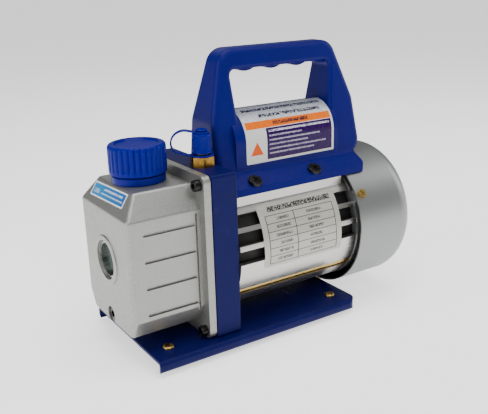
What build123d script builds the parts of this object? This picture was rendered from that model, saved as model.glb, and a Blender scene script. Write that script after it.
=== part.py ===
"""Single-stage rotary vane vacuum pump with a carrying handle, as separate pieces.

Millimetres. +Z is up, +X points from the oil case to the fan cover, and the origin lies on
the ground under the centre of the pump. The motor axis runs along X.
"""
import os
from math import cos, radians, sin, tan

from build123d import *

os.makedirs("parts", exist_ok=True)

# ---- driving dimensions -------------------------------------------------------------
axis_z = 71.2              # height of the motor and rotor axis
rear_x = 130.0             # rear end of the fan cover

plate_front_x = -118.1     # base plate
plate_rear_x = 66.3
plate_half_width = 57.75
plate_top_z = 12.4
plate_skirt_z = 3.0
sheet = 2.0
foot_from_end = 15.7
foot_from_side = 18.1
foot_r = 9.0
foot_screw_r = 2.0

bracket_front_x = -65.4    # bracket between oil case and motor
bracket_rear_x = -44.3
bracket_half_width = 49.85
bracket_top_z = 139.4
bracket_bolt_y = 34.0
bracket_bolt_r = 3.0

case_front_x = -129.0      # oil case
case_flange_x = -71.7
case_gasket_x = -66.0
case_half_width = 42.0
case_bottom_z = 24.5
case_top_z = 131.8
case_drop = 17.0           # fall of the top chamfers
case_wall = 3.5
case_flange_half = 49.2
case_flange_bottom_z = 13.0
case_bolt_y = 42.7
case_bolt_top_z = 132.5
case_bolt_low_z = 18.6
case_bolt_r = 2.5
groove_zs = (103.9, 83.8, 63.6, 43.2)

glass_z = 76.0             # oil sight glass
glass_boss_r = 19.0
glass_open_r = 15.1
glass_inner_r = 11.8
drain_z = 31.5             # oil drain plug
drain_r = 6.4
drain_shank_r = 5.0

cap_x = -98.4              # fill and exhaust cap
cap_r = 21.4
cap_bottom_z = 138.4
cap_top_z = 160.0
collar_r = 20.0
neck_r = 17.3
neck_top_z = 155.0

intake_x = -54.85          # intake port, a quarter inch flare fitting
intake_y = -19.0
intake_hex_z = 147.0
hex_across_flats = 17.0
flare_r = 5.56             # 7/16 inch thread
intake_cap_r = 7.8

shell_r = 52.3             # motor
shell_bore_r = 44.0
fin_root_r = 46.3
shell_rear_x = 69.0
shaft_r = 6.0
shaft_tail_r = 5.0
core_front_x = -10.0
core_rear_x = 42.0
air_gap = 0.3
core_bore_r = 26.3
rod_circle_r = 49.6
rod_r = 2.5
rod_angles = (-35.0, -145.0, 57.0, 123.0)

cover_front_x = 67.5       # fan cover
cover_r = 59.5
cover_round_r = 18.0
cover_sheet = 1.2
cover_screw_x = 73.2
cover_screw_angles = (30.0, 150.0, 270.0)
shield_rear_x = 77.0

pump_rotor_r = 20.0        # pump
pump_bore_r = 23.5
pump_offset = 3.3          # the bore's centre lies this far below the rotor's
pump_block_r = 34.0
pump_flat = 28.0
pump_front_x = -100.4
pump_bolt_circle_r = 29.0
pump_bolt_angles = (30.0, 150.0, 210.0, 330.0)
vane_slot = 4.1
vane_thick = 3.96
vane_root_r = 7.2
vane_tip_r = 19.8
reed_pivot_x = -72.0

handle_front_x = -43.8     # handle
handle_rear_x = 98.0
handle_top_z = 221.7
handle_foot_z = 126.5
bulge_r = 23.9
bulge_z = 150.5
handle_wall = 2.6
lip_half = 41.0
lip_low_z = 116.2
flange_root_y = 25.0
flange_top_z = 129.2
flange_tilt = 27.0
panel_x = 93.4
inlet_z = 143.2
switch_z = 161.8

axis_y0 = Axis((0, 0, axis_z), (1, 0, 0))
drain_plane = Plane(origin=(case_front_x, 0, drain_z), x_dir=(0, 1, 0), z_dir=(1, 0, 0))
glass_plane = Plane(origin=(case_front_x, 0, glass_z), x_dir=(0, 1, 0), z_dir=(1, 0, 0))


def across(x):
    """Plane across the motor axis at x, its local axes being +Y and +Z."""
    return Plane(origin=(x, 0, axis_z), x_dir=(0, 1, 0), z_dir=(1, 0, 0))


def polar(radius, angle):
    """Local point of an across() plane at a radius and an angle above +Y."""
    return (radius * cos(radians(angle)), radius * sin(radians(angle)))


# ==== base ===========================================================================
plate_mid_x = (plate_front_x + plate_rear_x) / 2
plate_length = plate_rear_x - plate_front_x
foot_spots = [
    (x, y)
    for x in (plate_front_x + foot_from_end, plate_rear_x - foot_from_end)
    for y in (foot_from_side - plate_half_width, plate_half_width - foot_from_side)
]
bracket_mid_x = (bracket_front_x + bracket_rear_x) / 2
bracket_bolt_spots = [(bracket_mid_x, -bracket_bolt_y), (bracket_mid_x, bracket_bolt_y)]

# sheet folded into a shallow channel, with round rear corners and a narrow wire slot
with BuildPart() as base_plate:
    with BuildSketch(Plane.YZ.offset(plate_front_x)):
        with Locations((0, (plate_skirt_z + plate_top_z) / 2)):
            outer = Rectangle(2 * plate_half_width, plate_top_z - plate_skirt_z)
        fillet(outer.vertices().group_by(Axis.Z)[-1], radius=3.4)
    extrude(amount=plate_length)
    with BuildSketch(Plane.YZ.offset(plate_front_x)):
        with Locations((0, (plate_skirt_z + plate_top_z - sheet) / 2)):
            inner = Rectangle(2 * (plate_half_width - sheet), plate_top_z - sheet - plate_skirt_z)
        fillet(inner.vertices().group_by(Axis.Z)[-1], radius=1.4)
    extrude(amount=plate_length, mode=Mode.SUBTRACT)
    with BuildSketch(Plane.XY):
        with Locations((plate_mid_x, 0)):
            plan = Rectangle(plate_length, 2 * plate_half_width)
        fillet(plan.vertices().group_by(Axis.X)[-1], radius=9.0)
        fillet(plan.vertices().group_by(Axis.X)[0], radius=2.0)
    extrude(amount=plate_top_z + 1, mode=Mode.INTERSECT)
    with BuildSketch(Plane.XY.offset(plate_top_z)):
        with Locations(*foot_spots):
            Circle(foot_screw_r + 0.2)
        with Locations(*bracket_bolt_spots):
            Circle(bracket_bolt_r + 0.3)
        with Locations((24.7, -11.0)):
            SlotOverall(14.0, 1.6, rotation=90)
    extrude(amount=-2 * sheet, mode=Mode.SUBTRACT)
base_plate.part.label = "base_plate"
export_step(base_plate.part, "parts/base_plate.step")

# moulded rubber feet with a pocket for the nut
with BuildPart() as rubber_feet:
    with BuildSketch(Plane.XY):
        with Locations(*foot_spots):
            Circle(foot_r)
    extrude(amount=plate_top_z - sheet)
    chamfer(rubber_feet.edges().group_by(Axis.Z)[0], length=0.9)
    with BuildSketch(Plane.XY):
        with Locations(*foot_spots):
            Circle(5.0)
    extrude(amount=4.2, mode=Mode.SUBTRACT)
    with BuildSketch(Plane.XY):
        with Locations(*foot_spots):
            Circle(foot_screw_r + 0.2)
    extrude(amount=plate_top_z, mode=Mode.SUBTRACT)
rubber_feet.part.label = "rubber_feet"
export_step(rubber_feet.part, "parts/rubber_feet.step")

# M4 truss head screws, the head with a cross recess
with BuildPart() as foot_screws:
    with BuildSketch(Plane.XY.offset(plate_top_z)):
        with Locations(*foot_spots):
            Circle(4.3)
    extrude(amount=2.0)
    fillet(foot_screws.edges().group_by(Axis.Z)[-1], radius=1.5)
    with BuildSketch(Plane.XY.offset(plate_top_z)):
        with Locations(*foot_spots):
            Circle(foot_screw_r)
    extrude(amount=1.4 - plate_top_z)
    with BuildSketch(Plane.XY.offset(plate_top_z + 2.0)):
        with Locations(*foot_spots):
            Rectangle(4.4, 0.9, rotation=35)
            Rectangle(0.9, 4.4, rotation=35)
    extrude(amount=-1.1, mode=Mode.SUBTRACT)
foot_screws.part.label = "foot_screws"
export_step(foot_screws.part, "parts/foot_screws.step")

# M4 nuts, up inside the feet
with BuildPart() as foot_nuts:
    with BuildSketch(Plane.XY.offset(1.2)):
        with Locations(*foot_spots):
            RegularPolygon(3.5, 6, major_radius=False)
            Circle(foot_screw_r, mode=Mode.SUBTRACT)
    extrude(amount=3.0)
foot_nuts.part.label = "foot_nuts"
export_step(foot_nuts.part, "parts/foot_nuts.step")

# ==== bracket ========================================================================
seal_front_x = -64.8
seal_rear_x = -58.4
seal_r = 11.0
bearing_r = 16.0
bearing_width = 10.0
front_bearing_x = -54.6
rear_bearing_x = 66.6
passage_z = axis_z + 16.8
case_bolt_spots = [
    (y, z - axis_z)
    for y in (-case_bolt_y, case_bolt_y)
    for z in (case_bolt_low_z, case_bolt_top_z)
]
rod_spots = [polar(rod_circle_r, a) for a in rod_angles]
pump_bolt_spots = [polar(pump_bolt_circle_r, a) for a in pump_bolt_angles]

# cast bracket: carries the seal and front bearing, the pump in front, the motor behind
with BuildPart() as bracket_housing:
    with BuildSketch(Plane.YZ.offset(bracket_front_x)):
        with Locations((0, (plate_top_z + bracket_top_z) / 2)):
            face = Rectangle(2 * bracket_half_width, bracket_top_z - plate_top_z)
        fillet(face.vertices(), radius=2.5)
    extrude(amount=bracket_rear_x - bracket_front_x)
    fillet(bracket_housing.edges().group_by(Axis.X)[-1], radius=1.2)
    with BuildSketch(across(bracket_rear_x)):
        Circle(43.8)
        Circle(38.0, mode=Mode.SUBTRACT)
    extrude(amount=3.0)
    with BuildSketch(across(bracket_rear_x)):
        Circle(shaft_r + 1.5)
    extrude(amount=bracket_front_x - bracket_rear_x, mode=Mode.SUBTRACT)
    with BuildSketch(across(bracket_rear_x)):
        Circle(bearing_r)
    extrude(amount=front_bearing_x - bracket_rear_x, mode=Mode.SUBTRACT)
    with BuildSketch(across(bracket_front_x)):
        Circle(seal_r)
    extrude(amount=seal_rear_x - bracket_front_x, mode=Mode.SUBTRACT)
    with BuildSketch(across(bracket_front_x)):
        with Locations(*case_bolt_spots):
            Circle(case_bolt_r)
    extrude(amount=14.0, mode=Mode.SUBTRACT)
    with BuildSketch(across(bracket_front_x)):
        with Locations(*pump_bolt_spots):
            Circle(2.5)
        with Locations((intake_y, passage_z - axis_z)):
            Circle(3.0)
    extrude(amount=10.0, mode=Mode.SUBTRACT)
    with BuildSketch(across(bracket_rear_x)):
        with Locations(*rod_spots):
            Circle(rod_r)
    extrude(amount=-12.0, mode=Mode.SUBTRACT)
    with BuildSketch(Plane.XY.offset(plate_top_z)):
        with Locations(*bracket_bolt_spots):
            Circle(bracket_bolt_r)
    extrude(amount=16.0, mode=Mode.SUBTRACT)
    with BuildSketch(Plane.XY.offset(bracket_top_z)):
        with Locations((intake_x, intake_y)):
            Circle(6.0)
    extrude(amount=-15.0, mode=Mode.SUBTRACT)
    with BuildSketch(Plane.XY.offset(bracket_top_z)):
        with Locations((intake_x, intake_y)):
            Circle(4.0)
    extrude(amount=passage_z - bracket_top_z - 5.0, mode=Mode.SUBTRACT)
bracket_housing.part.label = "bracket_housing"
export_step(bracket_housing.part, "parts/bracket_housing.step")

# M6 hex bolts from below the plate
with BuildPart() as bracket_bolts:
    with BuildSketch(Plane.XY.offset(plate_top_z - sheet)):
        with Locations(*bracket_bolt_spots):
            RegularPolygon(5.0, 6, major_radius=False)
    extrude(amount=-4.0)
    with BuildSketch(Plane.XY.offset(plate_top_z - sheet)):
        with Locations(*bracket_bolt_spots):
            Circle(bracket_bolt_r)
    extrude(amount=16.0)
bracket_bolts.part.label = "bracket_bolts"
export_step(bracket_bolts.part, "parts/bracket_bolts.step")

# ==== oil case =======================================================================
top_in = 11.5
low_in = 8.2
low_rise = 14.5
boss_back_x = -118.5
glass_depth = 9.2          # from the case front to the seat of the glass seal
drain_step = 7.0           # from the case front to the seat of the drain seal
neck_low_r = 14.0

# outline across the case, and the same shape set in by the wall
case_outline = [
    (case_half_width - low_in, case_bottom_z),
    (case_half_width, case_bottom_z + low_rise),
    (case_half_width, case_top_z - case_drop),
    (case_half_width - top_in, case_top_z),
    (top_in - case_half_width, case_top_z),
    (-case_half_width, case_top_z - case_drop),
    (-case_half_width, case_bottom_z + low_rise),
    (low_in - case_half_width, case_bottom_z),
]

with BuildPart() as case_hollow:
    with BuildSketch(Plane.YZ.offset(case_front_x + case_wall)):
        with BuildLine():
            Polyline(*case_outline, close=True)
        make_face()
        offset(amount=-case_wall, kind=Kind.INTERSECTION, mode=Mode.REPLACE)
    extrude(amount=case_gasket_x - case_front_x - case_wall)
    with BuildSketch(Plane.XZ):
        with BuildLine():
            Polyline(
                (case_front_x, case_bottom_z),
                (case_front_x, case_top_z - case_drop),
                (case_front_x + 11.4, case_top_z),
                (0, case_top_z),
                (0, case_bottom_z),
                close=True,
            )
        make_face()
        offset(amount=-case_wall, kind=Kind.INTERSECTION, mode=Mode.REPLACE)
    extrude(amount=case_half_width, both=True, mode=Mode.INTERSECT)

# die cast case with a bolting flange, side grooves, sight glass boss and drain pad
with BuildPart() as oil_case:
    with BuildSketch(Plane.YZ.offset(case_front_x)):
        with BuildLine():
            Polyline(*case_outline, close=True)
        make_face()
    extrude(amount=case_flange_x - case_front_x)
    with BuildSketch(Plane.XZ):
        with BuildLine():
            Polyline(
                (case_front_x, case_bottom_z),
                (case_front_x, case_top_z - case_drop),
                (case_front_x + 11.4, case_top_z),
                (case_flange_x, case_top_z),
                (case_flange_x, case_bottom_z),
                close=True,
            )
        make_face()
    extrude(amount=case_half_width, both=True, mode=Mode.INTERSECT)
    rear_edges = oil_case.edges().group_by(Axis.X)[-1]
    fillet(oil_case.edges() - rear_edges, radius=3.4)
    with BuildSketch(Plane.YZ.offset(case_flange_x)):
        with Locations((0, (case_flange_bottom_z + bracket_top_z) / 2)):
            flange = Rectangle(2 * case_flange_half, bracket_top_z - case_flange_bottom_z)
        fillet(flange.vertices(), radius=5.0)
    extrude(amount=case_gasket_x - case_flange_x)
    for side in (-1, 1):
        with BuildSketch(Plane.XZ.offset(-side * case_half_width)):
            for groove_z in groove_zs:
                with Locations((case_flange_x - 24.6, groove_z)):
                    SlotOverall(42.0, 2.4)
            with Locations((case_flange_x - 3.6, (groove_zs[0] + groove_zs[-1]) / 2)):
                Rectangle(1.6, groove_zs[0] - groove_zs[-1] + 16.0)
        extrude(amount=side * 1.8, mode=Mode.SUBTRACT)
    with BuildSketch(across(case_flange_x)):
        with Locations(*case_bolt_spots):
            Circle(case_bolt_r + 0.3)
    extrude(amount=case_gasket_x - case_flange_x, mode=Mode.SUBTRACT)
    add(case_hollow.part, mode=Mode.SUBTRACT)
    with BuildSketch(glass_plane.offset(case_wall)):
        Circle(glass_boss_r)
    extrude(amount=boss_back_x - case_front_x - case_wall)
    with BuildSketch(drain_plane.offset(case_wall)):
        with Locations((0, 2.0)):
            Rectangle(18.0, 12.0)
    extrude(amount=boss_back_x - case_front_x - case_wall)
    with BuildSketch(glass_plane):
        Circle(glass_boss_r)
    extrude(amount=-1.0)
    fillet(oil_case.edges().group_by(Axis.X)[0], radius=0.9)
    with BuildSketch(glass_plane.offset(-1.0)):
        Circle(glass_open_r)
    extrude(amount=glass_depth + 1.0, mode=Mode.SUBTRACT)
    with BuildSketch(glass_plane.offset(-1.0)):
        Circle(glass_inner_r)
    extrude(amount=boss_back_x - case_front_x + 1.0, mode=Mode.SUBTRACT)
    with BuildSketch(drain_plane):
        Circle(drain_r)
    extrude(amount=drain_step, mode=Mode.SUBTRACT)
    with BuildSketch(drain_plane):
        Circle(drain_shank_r + 0.05)
    extrude(amount=boss_back_x - case_front_x, mode=Mode.SUBTRACT)
    with BuildSketch(Plane.XY.offset(case_top_z)):
        with Locations((cap_x, 0)):
            Circle(neck_low_r + 0.05)
    extrude(amount=-2 * case_wall, mode=Mode.SUBTRACT)
oil_case.part.label = "oil_case"
export_step(oil_case.part, "parts/oil_case.step")

# rubber gasket between the flange and the bracket
with BuildPart() as case_gasket:
    with BuildSketch(Plane.YZ.offset(case_gasket_x)):
        with Locations((0, (case_flange_bottom_z + bracket_top_z) / 2)):
            rim = Rectangle(2 * case_flange_half - 1.6, bracket_top_z - case_flange_bottom_z - 1.6)
        fillet(rim.vertices(), radius=4.2)
    extrude(amount=bracket_front_x - case_gasket_x)
    with BuildSketch(Plane.YZ.offset(case_gasket_x)):
        with BuildLine():
            Polyline(*case_outline, close=True)
        make_face()
        offset(amount=-case_wall, kind=Kind.INTERSECTION, mode=Mode.REPLACE)
    extrude(amount=bracket_front_x - case_gasket_x, mode=Mode.SUBTRACT)
    with BuildSketch(across(case_gasket_x)):
        with Locations(*case_bolt_spots):
            Circle(case_bolt_r + 0.3)
    extrude(amount=bracket_front_x - case_gasket_x, mode=Mode.SUBTRACT)
case_gasket.part.label = "case_gasket"
export_step(case_gasket.part, "parts/case_gasket.step")

# M5 socket head cap screws holding the case
with BuildPart() as case_bolts:
    with BuildSketch(across(case_flange_x)):
        with Locations(*case_bolt_spots):
            Circle(4.25)
    extrude(amount=-5.0)
    chamfer(case_bolts.edges().group_by(Axis.X)[0], length=0.5)
    with BuildSketch(across(case_flange_x)):
        with Locations(*case_bolt_spots):
            Circle(case_bolt_r)
    extrude(amount=19.0)
    with BuildSketch(across(case_flange_x - 5.0)):
        with Locations(*case_bolt_spots):
            RegularPolygon(2.0, 6, major_radius=False)
    extrude(amount=2.8, mode=Mode.SUBTRACT)
case_bolts.part.label = "case_bolts"
export_step(case_bolts.part, "parts/case_bolts.step")

# rubber ring on which the glass seats
with BuildPart() as sight_glass_seal:
    with BuildSketch(glass_plane.offset(glass_depth)):
        Circle(glass_open_r - 0.3)
        Circle(glass_inner_r, mode=Mode.SUBTRACT)
    extrude(amount=-1.6)
sight_glass_seal.part.label = "sight_glass_seal"
export_step(sight_glass_seal.part, "parts/sight_glass_seal.step")

# round window
with BuildPart() as sight_glass:
    with BuildSketch(glass_plane.offset(glass_depth - 1.6)):
        Circle(glass_open_r - 0.3)
    extrude(amount=-4.0)
    chamfer(sight_glass.edges(), length=0.3)
sight_glass.part.label = "sight_glass"
export_step(sight_glass.part, "parts/sight_glass.step")

# threaded ring that holds the glass, with two slots for a pin wrench
with BuildPart() as sight_glass_ring:
    with BuildSketch(glass_plane.offset(glass_depth - 5.6)):
        Circle(glass_open_r)
        Circle(glass_inner_r + 0.8, mode=Mode.SUBTRACT)
    extrude(amount=-2.6)
    with BuildSketch(glass_plane.offset(glass_depth - 8.2)):
        Rectangle(2 * glass_open_r, 1.6)
    extrude(amount=1.2, mode=Mode.SUBTRACT)
sight_glass_ring.part.label = "sight_glass_ring"
export_step(sight_glass_ring.part, "parts/sight_glass_ring.step")

# socket set plug; its threads are drawn as plain cylinders
with BuildPart() as drain_plug:
    with BuildSketch(drain_plane.offset(drain_step - 1.8)):
        Circle(drain_r - 0.07)
    extrude(amount=-4.0)
    with BuildSketch(drain_plane.offset(drain_step - 1.8)):
        Circle(drain_shank_r)
    extrude(amount=5.1)
    with BuildSketch(drain_plane.offset(drain_step - 5.8)):
        RegularPolygon(2.5, 6, major_radius=False)
    extrude(amount=3.4, mode=Mode.SUBTRACT)
    chamfer(drain_plug.edges().group_by(Axis.X)[0].sort_by(SortBy.LENGTH)[-1], length=0.4)
drain_plug.part.label = "drain_plug"
export_step(drain_plug.part, "parts/drain_plug.step")

# seal ring on the plug's shank
with BuildPart() as drain_plug_seal:
    with BuildSketch(drain_plane.offset(drain_step - 1.7)):
        Circle(drain_r - 0.1)
        Circle(drain_shank_r + 0.05, mode=Mode.SUBTRACT)
    extrude(amount=1.6)
drain_plug_seal.part.label = "drain_plug_seal"
export_step(drain_plug_seal.part, "parts/drain_plug_seal.step")

# ==== fill and exhaust neck ==========================================================
neck_plane = Plane(origin=(cap_x, 0, case_top_z), x_dir=(1, 0, 0), z_dir=(0, 0, 1))
cap_plane = Plane(origin=(cap_x, 0, cap_bottom_z), x_dir=(1, 0, 0), z_dir=(0, 0, 1))
cap_height = cap_top_z - cap_bottom_z
neck_height = neck_top_z - case_top_z
seal_thick = 1.8
neck_bore_r = 11.0

# moulded collar and threaded neck, pressed into the top of the case
with BuildPart() as filler_neck:
    with BuildSketch(neck_plane):
        Circle(collar_r)
    extrude(amount=5.6)
    fillet(filler_neck.edges(), radius=0.8)
    with BuildSketch(neck_plane):
        Circle(neck_r)
    extrude(amount=neck_height)
    with BuildSketch(neck_plane):
        Circle(neck_low_r)
    extrude(amount=-2 * case_wall)
    with BuildSketch(neck_plane.offset(neck_height)):
        Circle(neck_bore_r)
    extrude(amount=-neck_height - 2 * case_wall, mode=Mode.SUBTRACT)
filler_neck.part.label = "filler_neck"
export_step(filler_neck.part, "parts/filler_neck.step")

# oil mist filter, a roll of mesh in the neck
with BuildPart() as exhaust_filter:
    with BuildSketch(neck_plane):
        Circle(neck_bore_r - 0.1)
        Circle(3.0, mode=Mode.SUBTRACT)
    extrude(amount=16.0)
exhaust_filter.part.label = "exhaust_filter"
export_step(exhaust_filter.part, "parts/exhaust_filter.step")

# flat ring in the cap, on top of the neck
with BuildPart() as exhaust_cap_seal:
    with BuildSketch(neck_plane.offset(neck_height)):
        Circle(neck_r)
        Circle(neck_bore_r + 1.0, mode=Mode.SUBTRACT)
    extrude(amount=seal_thick)
exhaust_cap_seal.part.label = "exhaust_cap_seal"
export_step(exhaust_cap_seal.part, "parts/exhaust_cap_seal.step")

# moulded cap with grip ribs and a dished top
with BuildPart() as exhaust_cap:
    with BuildSketch(cap_plane):
        Circle(cap_r)
    extrude(amount=cap_height)
    fillet(exhaust_cap.edges().group_by(Axis.Z)[-1], radius=2.2)
    fillet(exhaust_cap.edges().group_by(Axis.Z)[0], radius=0.8)
    with BuildSketch(cap_plane.offset(cap_height)):
        Circle(cap_r - 5.0)
    extrude(amount=-1.4, taper=20, mode=Mode.SUBTRACT)
    with BuildSketch(cap_plane):
        Circle(neck_r + 0.3)
    extrude(amount=neck_top_z + seal_thick + 0.1 - cap_bottom_z, mode=Mode.SUBTRACT)
    with BuildSketch(cap_plane.offset(3.0)):
        with PolarLocations(cap_r, 36):
            Rectangle(2.0, 1.7)
    extrude(amount=cap_height - 6.0, mode=Mode.SUBTRACT)
exhaust_cap.part.label = "exhaust_cap"
export_step(exhaust_cap.part, "parts/exhaust_cap.step")

# ==== intake =========================================================================
intake_plane = Plane(origin=(intake_x, intake_y, bracket_top_z), x_dir=(1, 0, 0), z_dir=(0, 0, 1))
hex_height = intake_hex_z - bracket_top_z
strap_ring_z = 8.4
intake_cap_low = 10.2
intake_cap_high = 24.6
button_top = 27.6

# turned brass flare fitting screwed into the bracket
with BuildPart() as intake_fitting:
    with BuildSketch(intake_plane):
        RegularPolygon(hex_across_flats / 2, 6, major_radius=False, rotation=12)
    extrude(amount=hex_height)
    with BuildSketch(intake_plane):
        Circle(hex_across_flats / 2 + 0.9)
    extrude(amount=hex_height, mode=Mode.INTERSECT)
    with BuildSketch(intake_plane):
        Circle(6.0)
    extrude(amount=-13.0)
    with BuildSketch(intake_plane.offset(hex_height)):
        Circle(4.9)
    extrude(amount=2.0)
    with BuildSketch(intake_plane.offset(hex_height + 2.0)):
        Circle(flare_r)
    extrude(amount=10.0)
    with BuildSketch(intake_plane.offset(hex_height + 12.0)):
        Circle(flare_r - 0.8)
    extrude(amount=1.9, taper=45)
    with BuildSketch(intake_plane.offset(-13.0)):
        Circle(2.2)
    extrude(amount=hex_height + 30.0, mode=Mode.SUBTRACT)
intake_fitting.part.label = "intake_fitting"
export_step(intake_fitting.part, "parts/intake_fitting.step")

# fine mesh disc under the fitting
with BuildPart() as intake_screen:
    with BuildSketch(intake_plane.offset(-13.1)):
        Circle(5.9)
    extrude(amount=-1.0)
intake_screen.part.label = "intake_screen"
export_step(intake_screen.part, "parts/intake_screen.step")

# soft plastic dust cap that pushes over the thread
with BuildPart() as intake_cap:
    with BuildSketch(intake_plane.offset(intake_cap_low)):
        Circle(intake_cap_r)
    extrude(amount=intake_cap_high - intake_cap_low)
    fillet(intake_cap.edges().group_by(Axis.Z)[-1], radius=1.0)
    with BuildSketch(intake_plane.offset(intake_cap_high)):
        Circle(2.4)
    extrude(amount=button_top - intake_cap_high)
    with BuildSketch(intake_plane.offset(button_top - 1.0)):
        Circle(4.4)
    extrude(amount=1.0)
    with BuildSketch(intake_plane.offset(intake_cap_low)):
        Circle(flare_r + 0.06)
    extrude(amount=hex_height + 14.4 - intake_cap_low, mode=Mode.SUBTRACT)
intake_cap.part.label = "intake_cap"
export_step(intake_cap.part, "parts/intake_cap.step")

# strap: a ring round the fitting, a loop standing out, and an eye under the cap's button
strap_plane = Plane(origin=(intake_x, intake_y, bracket_top_z), x_dir=(-0.87, 0.49, 0),
                    z_dir=(0.49, 0.87, 0))
strap_out = 23.5
strap_eye_z = intake_cap_high + 0.3
with BuildPart() as cap_strap:
    with BuildSketch(intake_plane.offset(strap_ring_z - 0.7)):
        Circle(9.3)
        Circle(5.2, mode=Mode.SUBTRACT)
    extrude(amount=1.2)
    with BuildSketch(intake_plane.offset(strap_eye_z)):
        Circle(5.0)
        Circle(2.7, mode=Mode.SUBTRACT)
    extrude(amount=1.2)
    with BuildLine(strap_plane):
        strap_run = FilletPolyline(
            (4.0, strap_eye_z + 0.6),
            (13.0, strap_eye_z + 3.0),
            (strap_out, strap_eye_z - 5.0),
            (strap_out - 2.0, strap_ring_z + 1.5),
            (8.0, strap_ring_z - 0.1),
            radius=(5.0, 6.0, 5.0),
        )
    with BuildSketch(Plane(origin=strap_run @ 0, x_dir=(0.49, 0.87, 0), z_dir=strap_run % 0)):
        Rectangle(4.4, 1.2)
    sweep(path=strap_run)
cap_strap.part.label = "cap_strap"
export_step(cap_strap.part, "parts/cap_strap.step")

# ==== pump ===========================================================================
pump_plane = across(bracket_front_x)
block_length = bracket_front_x - pump_front_x
bore_centre = (0, -pump_offset)
exhaust_xs = (-88.0, -80.0)
flat_z = axis_z + pump_flat
rotor_front_x = pump_front_x + 0.1
rotor_rear_x = bracket_front_x - 0.2
spring_xs = (-95.0, -84.0)

# cast iron block with the bore below the rotor's axis and a flat on top for the valve
with BuildPart() as pump_cylinder:
    with BuildSketch(pump_plane):
        Circle(pump_block_r)
        with Locations((0, pump_block_r + pump_flat)):
            Rectangle(2 * pump_block_r, 2 * pump_block_r, mode=Mode.SUBTRACT)
        with Locations(bore_centre):
            Circle(pump_bore_r, mode=Mode.SUBTRACT)
        with Locations(*pump_bolt_spots):
            Circle(2.7, mode=Mode.SUBTRACT)
    extrude(amount=-block_length)
    with BuildSketch(Plane.XY.offset(flat_z)):
        with Locations(*[(x, 0) for x in exhaust_xs]):
            Circle(2.0)
    extrude(amount=-pump_flat / 2, mode=Mode.SUBTRACT)
    with BuildSketch(Plane.XY.offset(flat_z)):
        with Locations((reed_pivot_x + 1.5, 0)):
            Rectangle(4.0, 12.0)
    extrude(amount=-0.5, mode=Mode.SUBTRACT)
    with BuildSketch(Plane.XY.offset(flat_z)):
        with Locations((reed_pivot_x, -3.0), (reed_pivot_x, 3.0)):
            Circle(1.25)
    extrude(amount=-5.0, mode=Mode.SUBTRACT)
    with BuildSketch(pump_plane):
        with Locations((intake_y, passage_z - axis_z)):
            Circle(2.0)
    extrude(amount=-12.0, mode=Mode.SUBTRACT)
    with BuildSketch(Plane.XY.offset(passage_z)):
        with Locations((bracket_front_x - 10.0, (intake_y - pump_bore_r) / 2 + 5.0)):
            Rectangle(3.0, abs(intake_y) - 10.0)
    extrude(amount=-3.0, mode=Mode.SUBTRACT)
pump_cylinder.part.label = "pump_cylinder"
export_step(pump_cylinder.part, "parts/pump_cylinder.step")

# cover that closes the block and carries the rotor's front journal
with BuildPart() as pump_end_plate:
    with BuildSketch(across(pump_front_x)):
        Circle(pump_block_r)
        with Locations((0, pump_block_r + pump_flat)):
            Rectangle(2 * pump_block_r, 2 * pump_block_r, mode=Mode.SUBTRACT)
        with Locations(*pump_bolt_spots):
            Circle(2.7, mode=Mode.SUBTRACT)
    extrude(amount=-7.0)
    with BuildSketch(across(pump_front_x)):
        Circle(7.05)
    extrude(amount=-5.0, mode=Mode.SUBTRACT)
pump_end_plate.part.label = "pump_end_plate"
export_step(pump_end_plate.part, "parts/pump_end_plate.step")

# M5 screws through plate and block into the bracket
with BuildPart() as pump_bolts:
    with BuildSketch(across(pump_front_x - 7.0)):
        with Locations(*pump_bolt_spots):
            Circle(4.25)
    extrude(amount=-5.0)
    with BuildSketch(across(pump_front_x - 12.0)):
        with Locations(*pump_bolt_spots):
            RegularPolygon(2.0, 6, major_radius=False)
    extrude(amount=2.8, mode=Mode.SUBTRACT)
    with BuildSketch(across(pump_front_x - 7.0)):
        with Locations(*pump_bolt_spots):
            Circle(2.5)
    extrude(amount=block_length + 15.0)
pump_bolts.part.label = "pump_bolts"
export_step(pump_bolts.part, "parts/pump_bolts.step")

# rotor with two opposed vane slots, two spring holes and a journal
with BuildPart() as pump_rotor:
    with BuildSketch(across(rotor_front_x)):
        Circle(pump_rotor_r)
        for side in (-1, 1):
            with Locations((side * (vane_root_r - 0.2 + pump_rotor_r), 0)):
                Rectangle(2 * pump_rotor_r, vane_slot, mode=Mode.SUBTRACT)
    extrude(amount=rotor_rear_x - rotor_front_x)
    with BuildSketch(across(rotor_front_x)):
        Circle(7.0)
    extrude(amount=-4.5)
    with BuildSketch(across(rotor_rear_x)):
        Circle(shaft_r)
    extrude(amount=-10.0, mode=Mode.SUBTRACT)
    with BuildSketch(Plane.XZ):
        with Locations(*[(x, axis_z) for x in spring_xs]):
            Circle(1.9)
    extrude(amount=vane_root_r, both=True, mode=Mode.SUBTRACT)
pump_rotor.part.label = "pump_rotor"
export_step(pump_rotor.part, "parts/pump_rotor.step")

# two carbon vanes, each with a rounded tip, at rest flush with the rotor
for name, side in (("vane_near", -1), ("vane_far", 1)):
    with BuildPart() as vane:
        with BuildSketch(across(rotor_front_x + 0.1)):
            with Locations((side * (vane_root_r + vane_tip_r) / 2, 0)):
                Rectangle(vane_tip_r - vane_root_r, vane_thick)
        extrude(amount=rotor_rear_x - rotor_front_x - 0.2)
        tip_edges = vane.edges().filter_by(Axis.X).group_by(Axis.Y)[-1 if side > 0 else 0]
        fillet(tip_edges, radius=1.6)
    vane.part.label = name
    export_step(vane.part, f"parts/{name}.step")

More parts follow.
